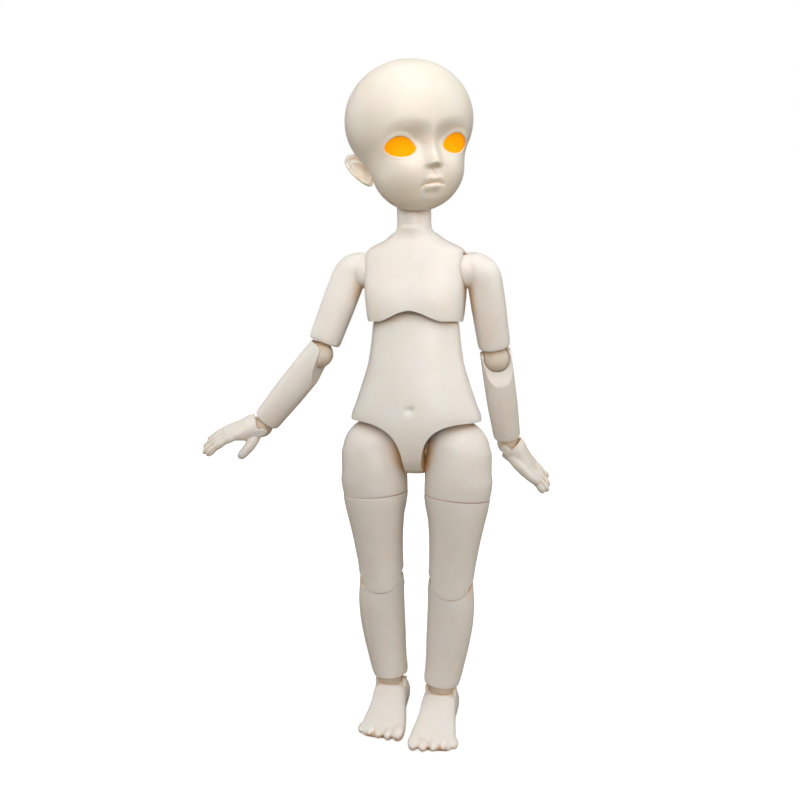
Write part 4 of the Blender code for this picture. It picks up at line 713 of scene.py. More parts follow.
def peg_ball(radius, peg_radius, peg_length, sides=64):
    """A joint ball with its peg upward: a circle's arc up to the peg, then the peg's side."""
    top = math.acos(peg_radius / radius)
    lift = np.linspace(-math.pi / 2, top, 42)[1:]
    heights = np.append(radius * np.sin(lift), radius + peg_length)
    around = np.append(radius * np.cos(lift), peg_radius)
    angle = np.arange(sides) / sides * 2 * math.pi
    return np.stack([around[:, None] * np.cos(angle), around[:, None] * np.sin(angle),
                     heights[:, None] * np.ones(sides)], axis=-1)


def joint_ball(word, joint):
    """Makes the ball and peg of an elbow, wrist or ankle, in that joint's own frame."""
    name = f"{word}_{joint}"
    ball = skin(name + "_joint_ball", peg_ball(BALL[joint], *PEGS[joint]), frames[name])
    settle(ball)
    wear(ball, name, [name + "_ball"], joint_vinyl)


def peg_hole(joint, spot, home):
    """The hole over a joint's ball that its peg turns in, a little wider and longer than the peg."""
    radius, length = PEGS[joint]
    top = np.array(spot) + (0, 0, BALL[joint] + length + GAP)
    return skin("peg_hole", rod_rings(radius + PEG_SLACK, spot, top), home)


def peg_slot(half, side, high, reach, home):
    """The slot in a limb's round top that lets it spread past the peg that it hangs on."""
    return skin("slot", prism_rings(fan(side, SLOT_LOW, high, half, reach), "xz", -half, half), home)


for word, side in SIDES.items():
    home = frames[word + "_arm"]
    rows = [(h * UPPER_ARM, *(w * ARM_RADIUS,) * 3, side * m * ARM_OFFSET, 0) for h, w, m in UPPER_ARM_ROWS]
    arm = merge(word + "_upper_arm_tube", [limb_rings(rows, between(rows, 110), 128),
                                           ball_rings(BALL["shoulder"], 96, 60)], home)
    fuse(arm, 0.35, 10)
    elbow = (side * ARM_OFFSET, 0, -UPPER_ARM)
    carve(arm, [peg_slot(ARM_SLOT_HALF, side, ARM_SLOT_HIGH, ARM_SLOT_REACH, home),
                seat("hub", (0, 0, 0), home), seat("elbow", elbow, home), peg_hole("elbow", elbow, home)])
    wear(arm, word + "_arm", [word + "_upper_arm"], body_vinyl)
    joint_ball(word, "elbow")

# %% Forearms and wrists
for word, side in SIDES.items():
    home = frames[word + "_forearm"]
    rows = [(h * FOREARM, *(w * ARM_RADIUS,) * 3, 0, 0) for h, w in FOREARM_ROWS]
    arm = skin(word + "_forearm_tube", limb_rings(rows, between(rows, 110), 128), home)
    edge = smooth_rows(SCOOP, np.linspace(-1.3, 1.0, 40))[:, 0]
    outline = [*zip(np.linspace(-1.3, 1.0, 40), edge), (2, 0.34), (2, 2), (-2, 2), (-2, -1.9)]
    wrist = (0, 0, -FOREARM)
    carve(arm, [skin("scoop", prism_rings(np.array(outline) * ARM_RADIUS, "yz", -FAR, FAR), home),
                seat("elbow", (0, 0, 0), home), seat("wrist", wrist, home), peg_hole("wrist", wrist, home)])
    wear(arm, word + "_lower_arm", [word + "_forearm"], body_vinyl)
    joint_ball(word, "wrist")

# %% [markdown]
# ## Hands
# Each hand is one soft moulding: a palm, four fingers lightly curled toward the palm and a thumb in
# front. The forms overlap and are melted into one skin, and then the cup for the wrist ball is cut.

# %% Hands
PALM, PALM_WIDE = 13.0, 12.6
FINGER, FINGER_RADIUS = 13.3, 1.85
CURLS = {"left": 5.0, "right": 34.0}
THUMBS = {"left": ((1.0, 3.0, 4.0), (0.5, 8.0, 12.0), (-0.5, 5.5, 22.5)),
          "right": ((2.0, 2.5, 3.5), (5.0, 7.5, 5.5), (9.0, 8.5, 12.5))}
FINGERS = ((-0.36, 0.86), (-0.12, 1.0), (0.12, 0.96), (0.36, 0.78))
PALM_ROWS = ((6, 4.5, 6.1), (10.1, 3.1, 6.4), (12.6, 2.2, 6.2), (14.6, 1.3, 5.4))
TIP = 0.14


def round_tip(t):
    """A digit's width along its length as a share: one, then down a quarter circle over the tip."""
    return np.sqrt(np.clip(1 - ((t - 1 + TIP) / TIP).clip(0, 1) ** 2, 0.03, 1))


def finger_rings(base, length, curl, side, radius, splay):
    """A finger on an arc: its direction turns steadily toward the palm, its radius tapers and closes
    over the tip as a half circle."""
    t = np.linspace(0, 1, 40)
    bend = math.radians(curl) * (0.25 + 0.95 * t)
    step = np.stack([-side * np.sin(bend), np.full(40, splay), -np.cos(bend)], axis=-1)
    path = np.array(base) + np.cumsum(step, axis=0) * length / 40
    taper = radius * (1.02 - 0.2 * t) * (1 - 0.07 * np.cos(t * 3 * 2 * math.pi))
    return tube_rings(path, taper * round_tip(t), 24)


for word, side in SIDES.items():
    home = frames[word + "_hand"]
    start = BALL["wrist"] * 0.45
    cup = BALL["wrist"] + GAP + WALL * 0.6
    rows = [(-start, cup, cup, cup, 0, 0), (-start - 3, cup * 0.93, cup, cup, 0, 0)]
    rows += [(-start - drop, thick, wide, wide, 0, 0) for drop, thick, wide in PALM_ROWS]
    forms = [limb_rings(rows, between(rows, 40), 64, 2.2), pin_ears("xz", start + WALL, cup)]
    for place, reach in FINGERS:
        base = (0, place * PALM_WIDE, -start - PALM + 3.2)
        forms.append(finger_rings(base, reach * FINGER + 4.0, CURLS[word], side, FINGER_RADIUS, place * 0.25))
    t = np.linspace(0, 1, 40)[:, None]
    first, middle, last = np.array(THUMBS[word]) * (-side, -1, -1)
    path = (1 - t) ** 2 * first + 2 * t * (1 - t) * middle + t ** 2 * last
    thick = FINGER_RADIUS * 1.15 * (1.4 - 0.5 * t[:, 0])
    forms.append(tube_rings(path, thick * round_tip(t[:, 0]), 24))
    hand = merge(word + "_hand_moulding", forms, home)
    fuse(hand, 0.3, 6)
    carve(hand, [seat("wrist", (0, 0, 0), home)])
    wear(hand, word + "_palm", [word + "_hand"], body_vinyl)

# %% [markdown]
# ## Legs
# A thigh is two pieces that turn on each other at a seam above its middle. Its domed top swings in
# the belly's arch. The knee is a barrel on the thigh between two ears of the shin, and a ball at the
# shin's lower end carries the foot.

# %% Thighs
LEG_RADIUS = 14.0
THIGH_ROWS = ((0.42, 1.03, 1.0, 1.02, 0.03), (0.66, 1.05, 0.99, 1.04, 0.06), (1.0, 1.02, 0.95, 1.0, 0.05))
LOWER_THIGH_ROWS = (
    (0.0, 0.985, 0.915, 0.965, 0.05), (0.011, 1.02, 0.95, 1.0, 0.05), (0.12, 0.98, 0.93, 0.96, 0.06),
    (0.28, 0.88, 0.87, 0.88, 0.08),
    (0.55, 0.77, 0.77, 0.77, 0.07), (0.82, 0.71, 0.71, 0.70, 0.05), (1.1, 0.70, 0.69, 0.67, 0.05),
)
SHIN_ROWS = (
    (-0.16, 0.66, 0.66, 0.66, 0.05), (0.0, 0.71, 0.70, 0.68, 0.07), (0.14, 0.72, 0.71, 0.78, 0.11),
    (0.30, 0.71, 0.68, 0.84, 0.12), (0.50, 0.67, 0.63, 0.80, 0.10), (0.76, 0.59, 0.55, 0.64, 0.05),
    (0.88, 0.56, 0.53, 0.55, 0.01), (0.92, 0.53, 0.50, 0.52, 0.0),
)
KNEE_BACK = ((0.33, 0.82), (0.98, 1.19), (2.0, 1.75), (2.0, -1.0))
KNEE_HALF, EAR_ROOM = 7.6, 6.9
THIGH_SLOT_HIGH, THIGH_SLOT_HALF, THIGH_SLOT_REACH = 48, 2.7, 30.0
TWIST_PEG, TWIST_PEG_TOP, TWIST_PEG_FOOT = 4.0, -10.0, -28.0


def leg_table(rows, length, side, start=0.0):
    """Leg rows in millimetres down from a joint, mirrored for the doll's right."""
    return [(-start - h * length, w * LEG_RADIUS, f * LEG_RADIUS, b * LEG_RADIUS, side * m * LEG_RADIUS, 0)
            for h, w, f, b, m in rows]


def knee_edge(lift):
    """The side view of the shin's rim: low in front, a round ear at the side, lowest behind."""
    reach, ear = BALL["knee"], 4.4
    points = [(-2 * reach, -0.26 * reach), (-1.02 * reach, -0.14 * reach), (-0.68 * reach, 0.12 * reach)]
    sweep = np.radians(np.linspace(150, 30, 17))
    points += list(zip(ear * np.cos(sweep), ear * np.sin(sweep)))
    points += [(0.75 * reach, -0.35 * reach), (1.05 * reach, -1.0 * reach), (2 * reach, -1.6 * reach)]
    return [(y, z + lift) for y, z in points]


def barrel(radius, half):
    """The knee's barrel: a ball squashed along X, its poles to the sides."""
    return ball_rings(radius, 96, 56)[:, :, [2, 1, 0]] * (half / radius, 1, 1)


for word, side in SIDES.items():
    home = frames[word + "_thigh"]
    dome = [(BALL["hip"] * math.sin(a), *(BALL["hip"] * math.cos(a),) * 3, 0, 0)
            for a in np.radians(np.linspace(84, 14, 20))]
    dome.append((0, BALL["hip"] + 0.35, BALL["hip"], BALL["hip"], side * 0.35, 0))
    rows = dome + leg_table(THIGH_ROWS, SEAM_DROP, side)
    thigh = skin(word + "_upper_thigh_shell", limb_rings(rows, between(rows, 120), 144), home)
    twist_hole = rod_rings(TWIST_PEG + PEG_SLACK, (0, 0, -SEAM_DROP - 2), (0, 0, TWIST_PEG_TOP + GAP))
    carve(thigh, [peg_slot(THIGH_SLOT_HALF, side, THIGH_SLOT_HIGH, THIGH_SLOT_REACH, home),
                  seat("hip_inner", (0, 0, 0), home), skin("peg_hole", twist_hole, home)])
    wear(thigh, word + "_thigh", [word + "_upper_thigh"], body_vinyl)

    home = frames[word + "_knee"]
    rows = leg_table(LOWER_THIGH_ROWS, THIGH - SEAM_DROP, side, SEAM_DROP)
    rows[0] = (rows[0][0] - GAP / 2, *rows[0][1:])
    thigh = skin(word + "_lower_thigh_shell", limb_rings(rows, between(rows, 120), 144), home)
    reach = BALL["knee"]
    trim = [(-2 * reach, -THIGH - reach), (-2 * reach, -THIGH - 0.1 * reach)]
    trim += [(y, z - THIGH) for y, z in knee_edge(GAP)[1:-8]]
    trim += [(y * reach, z * reach - THIGH) for y, z in KNEE_BACK]
    tools = [skin("trim", prism_rings(trim, "yz", -FAR, FAR), home)]
    inner = KNEE_HALF + GAP
    tools += [skin("ear_room", rod_rings(EAR_ROOM, (s * inner, 0, -THIGH), (s * 20, 0, -THIGH), 96), home)
              for s in (1, -1)]
    carve(thigh, tools)
    carve(thigh, [skin("barrel", barrel(reach, KNEE_HALF) + (0, 0, -THIGH), home),
                  skin("twist_peg", rod_rings(TWIST_PEG, (0, 0, TWIST_PEG_TOP), (0, 0, TWIST_PEG_FOOT), 48),
                       home)], "UNION")
    wear(thigh, word + "_knee", [word + "_lower_thigh"], body_vinyl)

# %% Shins and ankles
for word, side in SIDES.items():
    home = frames[word + "_shin"]
    rows = leg_table(SHIN_ROWS, SHIN, side)
    shin = skin(word + "_shin_shell", limb_rings(rows, between(rows, 130), 144), home)
    edge = [*knee_edge(0), (20, 20), (-20, 20)]
    ankle = (0, 0, -SHIN)
    carve(shin, [skin("rim", prism_rings(edge, "yz", -FAR, FAR), home),
                 skin("cup", barrel(BALL["knee"] + GAP, KNEE_HALF + GAP), home),
                 seat("ankle", ankle, home), peg_hole("ankle", ankle, home)])
    wear(shin, word + "_lower_leg", [word + "_shin"], body_vinyl)
    joint_ball(word, "ankle")

# %% [markdown]
# ## Feet
# A foot is one moulding with five toes, flat underneath so that the doll stands. Rings run from the
# heel to the toes; each toe is an egg of its own, and all of them are melted together.

# %% Feet
FOOT_ROWS = (
    (0.0, 0.20, 0.30), (0.03, 0.30, 0.52), (0.09, 0.37, 0.86), (0.17, 0.385, 1.08), (0.30, 0.385, 1.08),
    (0.40, 0.38, 1.08), (0.46, 0.39, 0.86), (0.57, 0.42, 0.64), (0.70, 0.46, 0.47), (0.82, 0.475, 0.35),
    (0.88, 0.44, 0.25), (0.91, 0.38, 0.12),
)
FOOT_RIM = ((-2.0, -0.02), (-0.42, 0.0), (-0.15, 0.02), (-0.11, 0.09), (-0.05, 0.145), (0.05, 0.145),
            (0.11, 0.09), (0.15, 0.02), (0.42, -0.03), (2.0, -0.12))
FOOT_LONG, FOOT_WIDE, FOOT_HEEL, TOE = 38.8, 19.6, 10.0, 1.9
TOES = (1.3, 1.06, 1.0, 0.95, 0.88)
INWARD, FOOT_SQUARENESS = 0.05, 2.7


def foot_rings(side, steps=90, sides=96):
    """Rings down the foot: a superellipse whose lower half is cut off level with the floor."""
    table = np.array(FOOT_ROWS)
    share = np.linspace(0, table[-1, 0], steps)
    width, height = smooth_rows(table, share).T[:, :, None]
    top = ANKLE_Z - GAP
    around = np.arange(sides)[None, :] / sides * 2 * math.pi
    cosine, sine = np.cos(around), np.sin(around)
    power = 2 / FOOT_SQUARENESS
    x = width * FOOT_WIDE * np.sign(cosine) * np.abs(cosine) ** power
    x -= side * FOOT_WIDE * INWARD * share[:, None]
    half = 0.5 * height * top
    lift = np.where(sine > 0, half, half * 1.08) * np.sign(sine) * np.abs(sine) ** power
    z = np.maximum(lift + half, 0) - ANKLE_Z
    y = np.broadcast_to(FOOT_HEEL - share[:, None] * FOOT_LONG, x.shape)
    return np.stack([x, y, z], axis=-1)


for word, side in SIDES.items():
    home = frames[word + "_foot"]
    forms = [foot_rings(side), pin_ears("yz", ANKLE_Z / 3, BALL["ankle"] + GAP + WALL)]
    for number, size in enumerate(TOES):
        radius = TOE * size
        spot = (-side * FOOT_WIDE * (0.40 - 0.205 * number),
                FOOT_HEEL - FOOT_LONG * (1 - 0.0072 * number ** 2) + radius * 1.85, radius - ANKLE_Z)
        forms.append(ball_rings(radius, 48, 28, (1, 2.0, 1)) + spot)
    foot = merge(word + "_foot_moulding", forms, home)
    fuse(foot, 0.35, 3)
    rim = [(y * FOOT_WIDE, z * ANKLE_Z) for y, z in FOOT_RIM] + [(40, 40), (-40, 40)]
    floor = skin("floor_cut", block_rings((-40, -60, -ANKLE_Z - 5), (40, 30, -ANKLE_Z + 0.02)), home)
    carve(foot, [skin("rim", prism_rings(rim, "yz", -FAR, FAR), home), floor,
                 seat("ankle", (0, 0, 0), home)])
    wear(foot, word + "_sole", [word + "_foot"], body_vinyl)

# %% [markdown]
# ## The head
# The head is three soft bodies, a wide skull, a narrow jaw and a nape behind the neck, blended where
# they meet, with a hollow pressed in for each eye. Rays from near the middle of the head find its
# surface, closer together over the face. The nose, lips, chin, cheeks and lids are then raised or
# sunk from it as bell curves.

# %% Head form
HEAD_SIZE = np.array([56.0, 56.0, 65.0])
HEAD_WALL, CHIN_DROP, HEAD_FORWARD = 2.4, 9.7, 5.2
HEAD_MIDDLE = np.array([0, -HEAD_FORWARD, HEAD_SIZE[2] / 2 - CHIN_DROP])
SKULL = ((0.0, 0.0, 0.195), (0.975, 0.985, 0.77))
JAW = ((0.0, -0.10, -0.44), (0.70, 0.66, 0.55))
NAPE = ((0.0, 0.20, -0.33), (0.52, 0.58, 0.56))
SOCKET = ((0.42, -0.955, -0.24), (0.33, 0.27, 0.18))
BLEND = 0.16
EYE_X, EYE_Z, EYE_WIDE, EYE_TALL, EYE_SLOPE = 11.8, 14.9, 11.9, 8.0, 0.75


def outside_by(spot, centre, size):
    """Roughly how far points lie outside a soft body: their scaled distance from it, less one."""
    size = np.array(size)
    return (np.linalg.norm((spot - np.array(centre)) / size, axis=-1) - 1) * size.min()


def blended(first, second, blend):
    """The smaller of two distances, rounded over where they are nearly the same."""
    mix = np.clip(0.5 + 0.5 * (first - second) / blend, 0, 1)
    return first * (1 - mix) + second * mix - blend * mix * (1 - mix)


def head_field(points):
    """Roughly how far points lie outside the head without its features."""
    spot = (points - HEAD_MIDDLE) / (HEAD_SIZE / 2)
    field = blended(outside_by(spot, *SKULL), outside_by(spot, *JAW), BLEND)
    field = blended(field, outside_by(spot, *NAPE), BLEND)
    even = spot.copy()
    even[..., 0] = np.abs(even[..., 0])
    return -blended(-field, outside_by(even, *SOCKET), BLEND)


def reached(start, ray, far):
    """How far along each ray the head's surface is, by halving the stretch that holds it."""
    near = np.zeros(ray.shape[:-1])
    far = np.full(ray.shape[:-1], float(far))
    for _ in range(34):
        middle = (near + far) / 2
        outside = head_field(start + ray * middle[..., None]) > 0
        far = np.where(outside, middle, far)
        near = np.where(outside, near, middle)
    return near


def face_depth(x, z):
    """The y of the face's surface at x and z, looked for forward from the middle of the head."""
    start = np.stack([x, np.full(x.shape, HEAD_MIDDLE[1]), z], axis=-1)
    ray = np.zeros(start.shape)
    ray[..., 1] = -1
    return HEAD_MIDDLE[1] - reached(start, ray, 60)


def eye_reach(x, z):
    """How far out a point is from an eye's middle, as a share of the almond's edge there."""
    across = (np.abs(x) - EYE_X) / (EYE_WIDE / 2)
    up = (z - EYE_Z - across * EYE_SLOPE) / (EYE_TALL / 2)
    tall = np.where(up > 0, 1.06, 0.94) * (1 - 0.16 * np.clip(np.abs(across), 0, 1) ** 3)
    return np.hypot(across, up / tall)


# Each feature: x, z, width, height above, height below, how far forward. Pairs are mirrored. They
# are the bridge, tip, wings and underside of the nose, the groove under it, the chin, the dip over
# the chin, the cheeks and the inner corners of the eyes.
FEATURES = (
    (0.0, 12.6, 1.9, 4.6, 3.5, 1.4),
    (0.0, 7.2, 2.0, 3.0, 0.8, 3.2),
    (1.7, 6.4, 0.9, 1.2, 0.6, 0.7),
    (1.1, 5.2, 0.7, 0.6, 0.6, -0.6),
    (0.0, 3.8, 0.6, 1.0, 0.8, -0.3),
    (0.0, -6.2, 4.6, 2.6, 3.4, 1.6),
    (0.0, -3.6, 3.4, 0.9, 1.1, -0.7),
    (12.5, 5.0, 6.0, 5.0, 5.0, 1.3),
    (6.0, 17.2, 2.3, 2.8, 3.0, -1.0),
)


# The mouth's line: its height in the middle and how fast its corners drop
MOUTH_Z, MOUTH_DROP = -0.1, 0.035


def bell(value, power=2):
    """One at zero and near nothing past two, with a flatter top for a higher power."""
    return np.exp(-0.5 * value ** power)


def relief(x, z):
    """How far forward the features stand: bells about their middles, two lips along the mouth's
    curve with its line and corners sunk, and a lid that swells round each eye's edge and falls off
    outside it."""
    lift = np.zeros(x.shape)
    for place, height, wide, above, below, forward in FEATURES:
        rise = (z - height) / np.where(z > height, above, below)
        lift += forward * bell((np.abs(x) - place) / wide) * bell(rise)
    over = z - (MOUTH_Z - MOUTH_DROP * x ** 2)
    bow = 1.7 - 0.35 * bell(x / 0.8)
    upper_lip = bell((over - bow) / np.where(over > bow, 0.9, 0.85))
    lower_lip = bell((over + 1.7) / np.where(over > -1.7, 0.9, 1.2))
    lift += 1.25 * bell(x / 3.1, 4) * upper_lip + 1.5 * bell(x / 2.6, 4) * lower_lip
    lift -= 0.75 * bell(x / 4.2, 6) * bell(over / 0.32)
    lift -= 0.35 * bell((np.abs(x) - 4.5) / 0.7) * bell((z + 1.0) / 0.8)
    edge = eye_reach(x, z)
    lift += 0.32 * bell((edge - 1.08) / np.where(z > EYE_Z, 0.15, 0.12))
    lift -= 0.15 * bell((edge - 1.42) / 0.12) * (z > EYE_Z)
    return lift


def head_surface(inset, steps, sides, detail):
    """Rings over the head: rays closer together toward the face, drawn in for the hollow, or moved
    forward by the relief where they look forward."""
    share = np.linspace(0, 1, steps + 2)[1:-1]
    lift = np.radians(np.interp(share, [0, 0.14, 0.74, 1], [-90, -62, 12, 90]))[:, None]
    around = (np.arange(sides) / sides * 2 - 1) * math.pi
    around = (around - 0.55 * np.sin(around) - math.pi / 2)[None, :]
    ray = np.stack([np.cos(lift) * np.cos(around), np.cos(lift) * np.sin(around),
                    np.sin(lift) * np.ones_like(around)], axis=-1)
    start = HEAD_MIDDLE - np.array([0, 0, HEAD_SIZE[2] * 0.06])
    points = start + ray * (reached(start, ray, 70) - inset)[..., None]
    if detail:
        facing = np.clip((-8 - points[..., 1]) / 8, 0, 1)
        points[..., 1] -= relief(points[..., 0], points[..., 2]) * facing
    return points


def almond(grow=1.0, steps=96):
    """The outline of one eye opening in x and z."""
    angle = np.arange(steps) / steps * 2 * math.pi
    across, up = np.cos(angle), np.sin(angle)
    height = np.where(up > 0, 1.06, 0.94) * (1 - 0.16 * np.abs(across) ** 3)
    return np.stack([EYE_X + grow * across * EYE_WIDE / 2,
                     EYE_Z + grow * up * height * EYE_TALL / 2 + across * EYE_SLOPE], axis=-1)


# %% [markdown]
# ## Ears, cap and magnets
# The ears are moulded on. The back of the head is a cap that comes off along a slanting seam, so that
# the eyes can be changed from inside. Four disc magnets in two pairs hold it. The head is drawn
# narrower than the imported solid, so the magnets are drawn here too, a little further in.

# %% Ears, seam and neck opening
EAR_SPOT, EAR_TURN, EAR_OUT, EAR_UP = (22.3, 1.2, 11.0), 42, 4.9, 7.4


def ear_rings(side, steps=56, sides=96):
    """An ear from the middle of its back, over its rim, to the middle of its front. The front has a
    rolled rim, a ridge inside it and a deep bowl; all three are bells of the share from the middle."""
    share = np.concatenate([np.linspace(0.03, 1, steps), np.linspace(1, 0.03, steps + 1)[1:]])[:, None]
    front = (np.arange(2 * steps) >= steps)[:, None]
    angle = np.arange(sides)[None, :] / sides * 2 * math.pi
    up = EAR_UP * np.sin(angle) * share
    out = EAR_OUT * np.cos(angle) * (1 + 0.26 * np.sin(angle)) * share + 0.5 * up
    rim = np.sqrt(np.clip(1 - share ** 6, 0, 1))
    roll = 1.0 * bell((share - 0.84) / 0.075)
    ridge = 0.5 * bell((share - 0.5) / 0.09) * np.clip(0.3 + np.sin(angle), 0, 1)
    bowl = -2.3 * bell((out + 0.6) / 1.8) * bell((up + 1.0) / 2.9)
    thick = np.where(front, 0.6 * rim + roll + ridge + bowl, -rim * (0.8 + 1.8 * (1 - share ** 2)))
    turn = math.radians(EAR_TURN)
    along = np.array([side * math.cos(turn), math.sin(turn), 0])
    normal = np.array([side * math.sin(turn), -math.cos(turn), 0])
    centre = np.array([side * EAR_SPOT[0], *EAR_SPOT[1:]])
    upward = np.array([0, 0, 1.0])
    return centre + out[..., None] * along + thick[..., None] * normal + up[..., None] * upward


SEAM_TILT = math.radians(14)
SEAM_NORMAL = np.array([0, math.cos(SEAM_TILT), math.sin(SEAM_TILT)])
SEAM_UP = np.array([0, -math.sin(SEAM_TILT), math.cos(SEAM_TILT)])
SEAM_POINT = HEAD_MIDDLE + np.array([0, HEAD_SIZE[1] * 0.27, 0])
MAGNET, MAGNET_END = 2.5, 1.5
MAGNET_X = 0.72 * (HEAD_SIZE[0] / 2 - HEAD_WALL - MAGNET - WALL)
MAGNET_DROP = 0.02 * HEAD_SIZE[2]
NECK_TUBE, NECK_ROOM, ROOM_LOW = 12.9, 10.7, -5.1


def seam_side(back):
    """The half space behind the cap's seam, or before it."""
    sign = 1 if back else -1
    near = SEAM_POINT + SEAM_NORMAL * sign * GAP / 2
    outline = np.array([(-60, -60), (60, -60), (60, 60), (-60, 60)])
    layer = outline[:, :1] * np.array([1.0, 0, 0]) + outline[:, 1:] * SEAM_UP
    return np.stack([layer + near, layer + near + SEAM_NORMAL * sign * 60])


def magnet_spots():
    """The middles of the two magnet pairs in the seam."""
    return [SEAM_POINT + np.array([s * MAGNET_X, 0, 0]) - SEAM_UP * MAGNET_DROP for s in (-1, 1)]


def head_hollow(home):
    """The room inside the head, less the bosses that hold the magnets and the tube for the neck."""
    hollow = skin("head_hollow", head_surface(HEAD_WALL, 70, 96, False), home)
    keep = [skin("tube", rod_rings(NECK_TUBE, (0, 0, -CHIN_DROP), (0, 0, 4), 64), home)]
    reach = SEAM_NORMAL * (MAGNET_END + GAP + 2 * WALL)
    for spot in magnet_spots():
        middle = spot + np.array([math.copysign(MAGNET, spot[0]), 0, 0])
        keep.append(skin("boss", rod_rings(MAGNET + WALL, middle - reach, middle + reach, 48), home))
    carve(hollow, keep)
    return hollow


def pockets(sign, home):
    """The round pockets for the magnets, open at the seam."""
    near, far = -SEAM_NORMAL * sign * GAP, SEAM_NORMAL * sign * (MAGNET_END + 2 * GAP)
    return [skin("pocket", rod_rings(MAGNET + GAP, spot + near, spot + far), home) for spot in magnet_spots()]


home = frames["head"]
shell = skin("head_face_shell", head_surface(0, 230, 300, True), home)
carve(shell, [skin("ear", ear_rings(side), home) for side in SIDES.values()], "UNION")
tools = [head_hollow(home), skin("seam", seam_side(True), home), *pockets(-1, home)]
for side in SIDES.values():
    outline = almond() * np.array([side, 1])
    tools.append(skin("eye_opening", prism_rings(outline, "xz", -45, -8), home))
tools.append(skin("neck_room", rod_rings(NECK_ROOM, (0, 0, ROOM_LOW), (0, 0, 8), 64), home))
flare = [(-CHIN_DROP - 2, *(1.32 * NECK_RADIUS,) * 3, 0, 0), (0, *(1.18 * NECK_RADIUS,) * 3, 0, 0)]
tools.append(skin("neck_flare", limb_rings(flare, between(flare, 12), 96), home))
carve(shell, tools)
wear(shell, "head", ["head_shell"], head_vinyl)

cap = skin("head_back_cap", head_surface(0, 120, 160, False), home)
carve(cap, [head_hollow(home), skin("seam", seam_side(False), home), *pockets(1, home)])
wear(cap, "cap", ["head_cap"], head_vinyl)

for word, spot in zip(("right", "left"), magnet_spots()):
    for place, sign in (("head", -1), ("cap", 1)):
        start, end = spot + SEAM_NORMAL * sign * GAP / 2, spot + SEAM_NORMAL * sign * MAGNET_END
        magnet = skin(f"{word}_{place}_disc_magnet", rod_rings(MAGNET, start, end, 48), home)
        settle(magnet)
        wear(magnet, place, [f"{word}_{place}_magnet"], drawn_steel)

# %% [markdown]
# ## Eye blanks
# Both eye openings are filled with flat orange. Each blank follows the face half a millimetre behind its
# surface, so that the lids throw a thin shadow on it, as they do in the photograph.

# %% Eye blanks
BLANK_BACK, BLANK_FRONT, BLANK_STEPS = 2.0, 0.55, 16
for word, side in SIDES.items():
    share = np.linspace(0.04, 1, BLANK_STEPS)
    share = np.concatenate([share, share[::-1]])
    outline = almond(0.985, 96)
    middle = np.array([EYE_X, EYE_Z])
    flat = middle + share[:, None, None] * (outline - middle)[None]
    depth = face_depth(flat[..., 0], flat[..., 1])
    depth += np.repeat([BLANK_BACK, BLANK_FRONT], BLANK_STEPS)[:, None]
    rings = np.stack([side * flat[..., 0], depth, flat[..., 1]], axis=-1)
    blank = skin(word + "_orange_blank", rings, home)
    settle(blank)
    wear(blank, "head", [word + "_eye_blank"], orange_plastic)

# %% [markdown]
# ## The pieces inside
# The pins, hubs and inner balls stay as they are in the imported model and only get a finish.

# %% Inner pieces
for item in bpy.data.objects:
    if item.type == "MESH":
        for place in item.material_slots:
            name = place.material.name.split(".")[0] if place.material else ""
            place.material = SLOT_FINISHES.get(name, place.material)

# %% [markdown]
# ## Light and floor
# One softbox hangs in front above the doll. Two smaller ones with grids light the face and chest, and
# the feet, so that the belly and the legs between them fall off to beige. A lamp far overhead lights
# the crown and the tops of the feet, and two weak ones at the sides give the limbs their pale edges.

# %% Floor, backdrop and lamps
FLOOR_HALF, FLOOR_DROP = 3, -0.0002
# Each lamp: name, place, aim, size, brightness and, for a grid over it, spread. Metres and degrees.
LAMPS = (
    ("face_softbox", (0.10, -0.38, 0.27), (0.01, -0.02, 0.207), 0.18, 0.56, 40),
    ("front_softbox", (0.10, -0.42, 0.50), (0.02, 0, 0.2), 0.35, 2.7),
    ("foot_softbox", (0.12, -0.40, 0.14), (0.02, -0.03, -0.02), 0.12, 0.34, 28),
    ("top_softbox", (0.02, -0.10, 1.6), (0.02, 0, 0.1), 0.8, 3.0),
    ("left_softbox", (0.75, 0.05, 0.30), (0, 0, 0.15), 0.7, 1.2),
    ("right_softbox", (-0.75, 0.05, 0.30), (0, 0, 0.15), 0.7, 1.2),
)


def softbox(name, spot, aim, size, brightness, spread=180):
    """A square lamp at a spot, turned toward another, its power set from its area and brightness. A
    smaller spread is a grid over the lamp, which keeps its light near the line that it points along."""
    data = bpy.data.lights.new(name, "AREA")
    data.shape = "SQUARE"
    data.size = size
    data.energy = math.pi * size ** 2 * brightness
    data.spread = math.radians(spread)
    lamp = bpy.data.objects.new(name, data)
    bpy.context.collection.objects.link(lamp)
    spot, aim = np.array(spot, float), np.array(aim, float)
    back = (spot - aim) / np.linalg.norm(spot - aim)
    lamp.location = tuple(spot)
    lamp.rotation_euler = (math.acos(back[2]), 0, math.atan2(back[0], -back[1]))
    return lamp


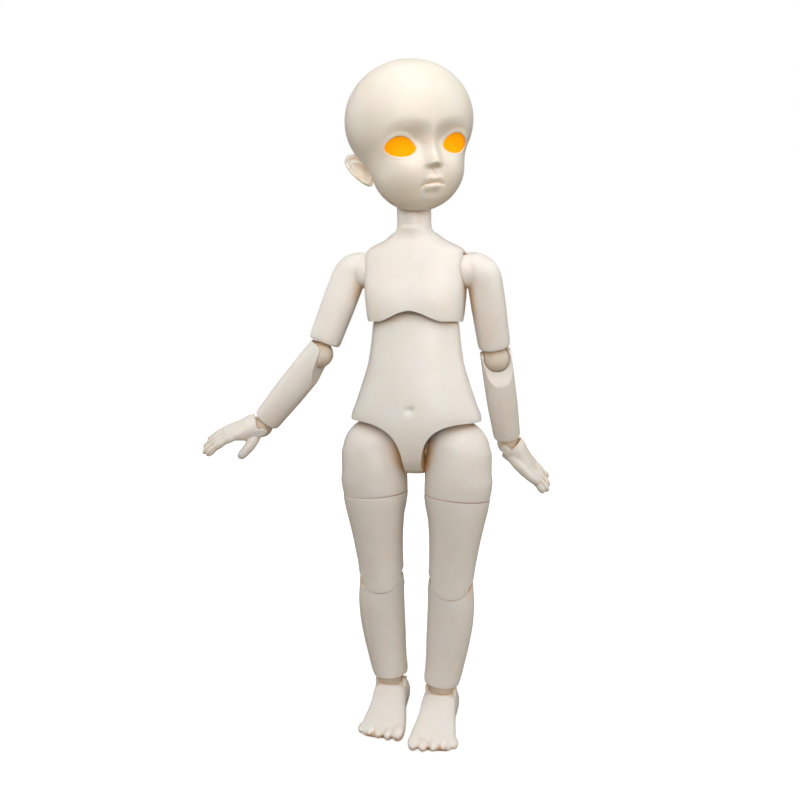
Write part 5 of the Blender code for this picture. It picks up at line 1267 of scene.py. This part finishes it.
def white_floor():
    """A wide floor that looks plain white. It is matt and keeps the doll's shadow, and the camera also
    sees it glow, more so farther out. To the doll it is tan, and throws a little warm light up."""
    mesh = bpy.data.meshes.new("floor")
    corners = [(x * FLOOR_HALF, y * FLOOR_HALF, FLOOR_DROP) for x, y in ((-1, -1), (1, -1), (1, 1), (-1, 1))]
    mesh.from_pydata(corners, [], [(0, 1, 2, 3)])
    floor = bpy.data.objects.new("floor", mesh)
    bpy.context.collection.objects.link(floor)
    paint = bpy.data.materials.new("floor_paint")
    paint.use_nodes = True
    shader = paint.node_tree.nodes["Principled BSDF"]
    shader.inputs["Roughness"].default_value = 1.0
    shader.inputs["Specular IOR Level"].default_value = 0.0
    tree = paint.node_tree
    place = node(tree, "ShaderNodeTexCoord").outputs["Object"]
    away = node(tree, "ShaderNodeVectorMath", {"operation": "LENGTH"})
    tree.links.new(place, away.inputs[0])
    far = node(tree, "ShaderNodeMapRange", {"From Min": 0.05, "From Max": 0.30, "To Min": 0.62},
               Value=away.outputs["Value"])
    seen = node(tree, "ShaderNodeLightPath").outputs["Is Camera Ray"]
    tone = node(tree, "ShaderNodeMix", {"data_type": "RGBA"})
    tone.inputs[6].default_value = linear("#85765F")
    tone.inputs[7].default_value = linear("#FFFFFF")
    tree.links.new(seen, tone.inputs[0])
    tree.links.new(tone.outputs[2], shader.inputs["Base Color"])
    glow = node(tree, "ShaderNodeMath", {"operation": "MULTIPLY"})
    tree.links.new(far.outputs["Result"], glow.inputs[0])
    tree.links.new(seen, glow.inputs[1])
    shader.inputs["Emission Color"].default_value = linear("#FFFFFF")
    tree.links.new(glow.outputs["Value"], shader.inputs["Emission Strength"])
    mesh.materials.append(paint)
    return floor


world = bpy.data.worlds.new("white_tent")
bpy.context.scene.world = world
world.use_nodes = True
tree = world.node_tree
back_light = tree.nodes["Background"]
path = node(tree, "ShaderNodeLightPath")
back_light.inputs["Color"].default_value = linear("#FFFFFF")
level = node(tree, "ShaderNodeMapRange", {"To Min": 0.2, "To Max": 1.0},
             Value=path.outputs["Is Camera Ray"])
tree.links.new(level.outputs["Result"], back_light.inputs["Strength"])
white_floor()
[softbox(*row) for row in LAMPS]
bpy.context.scene.view_settings.view_transform = "Standard"
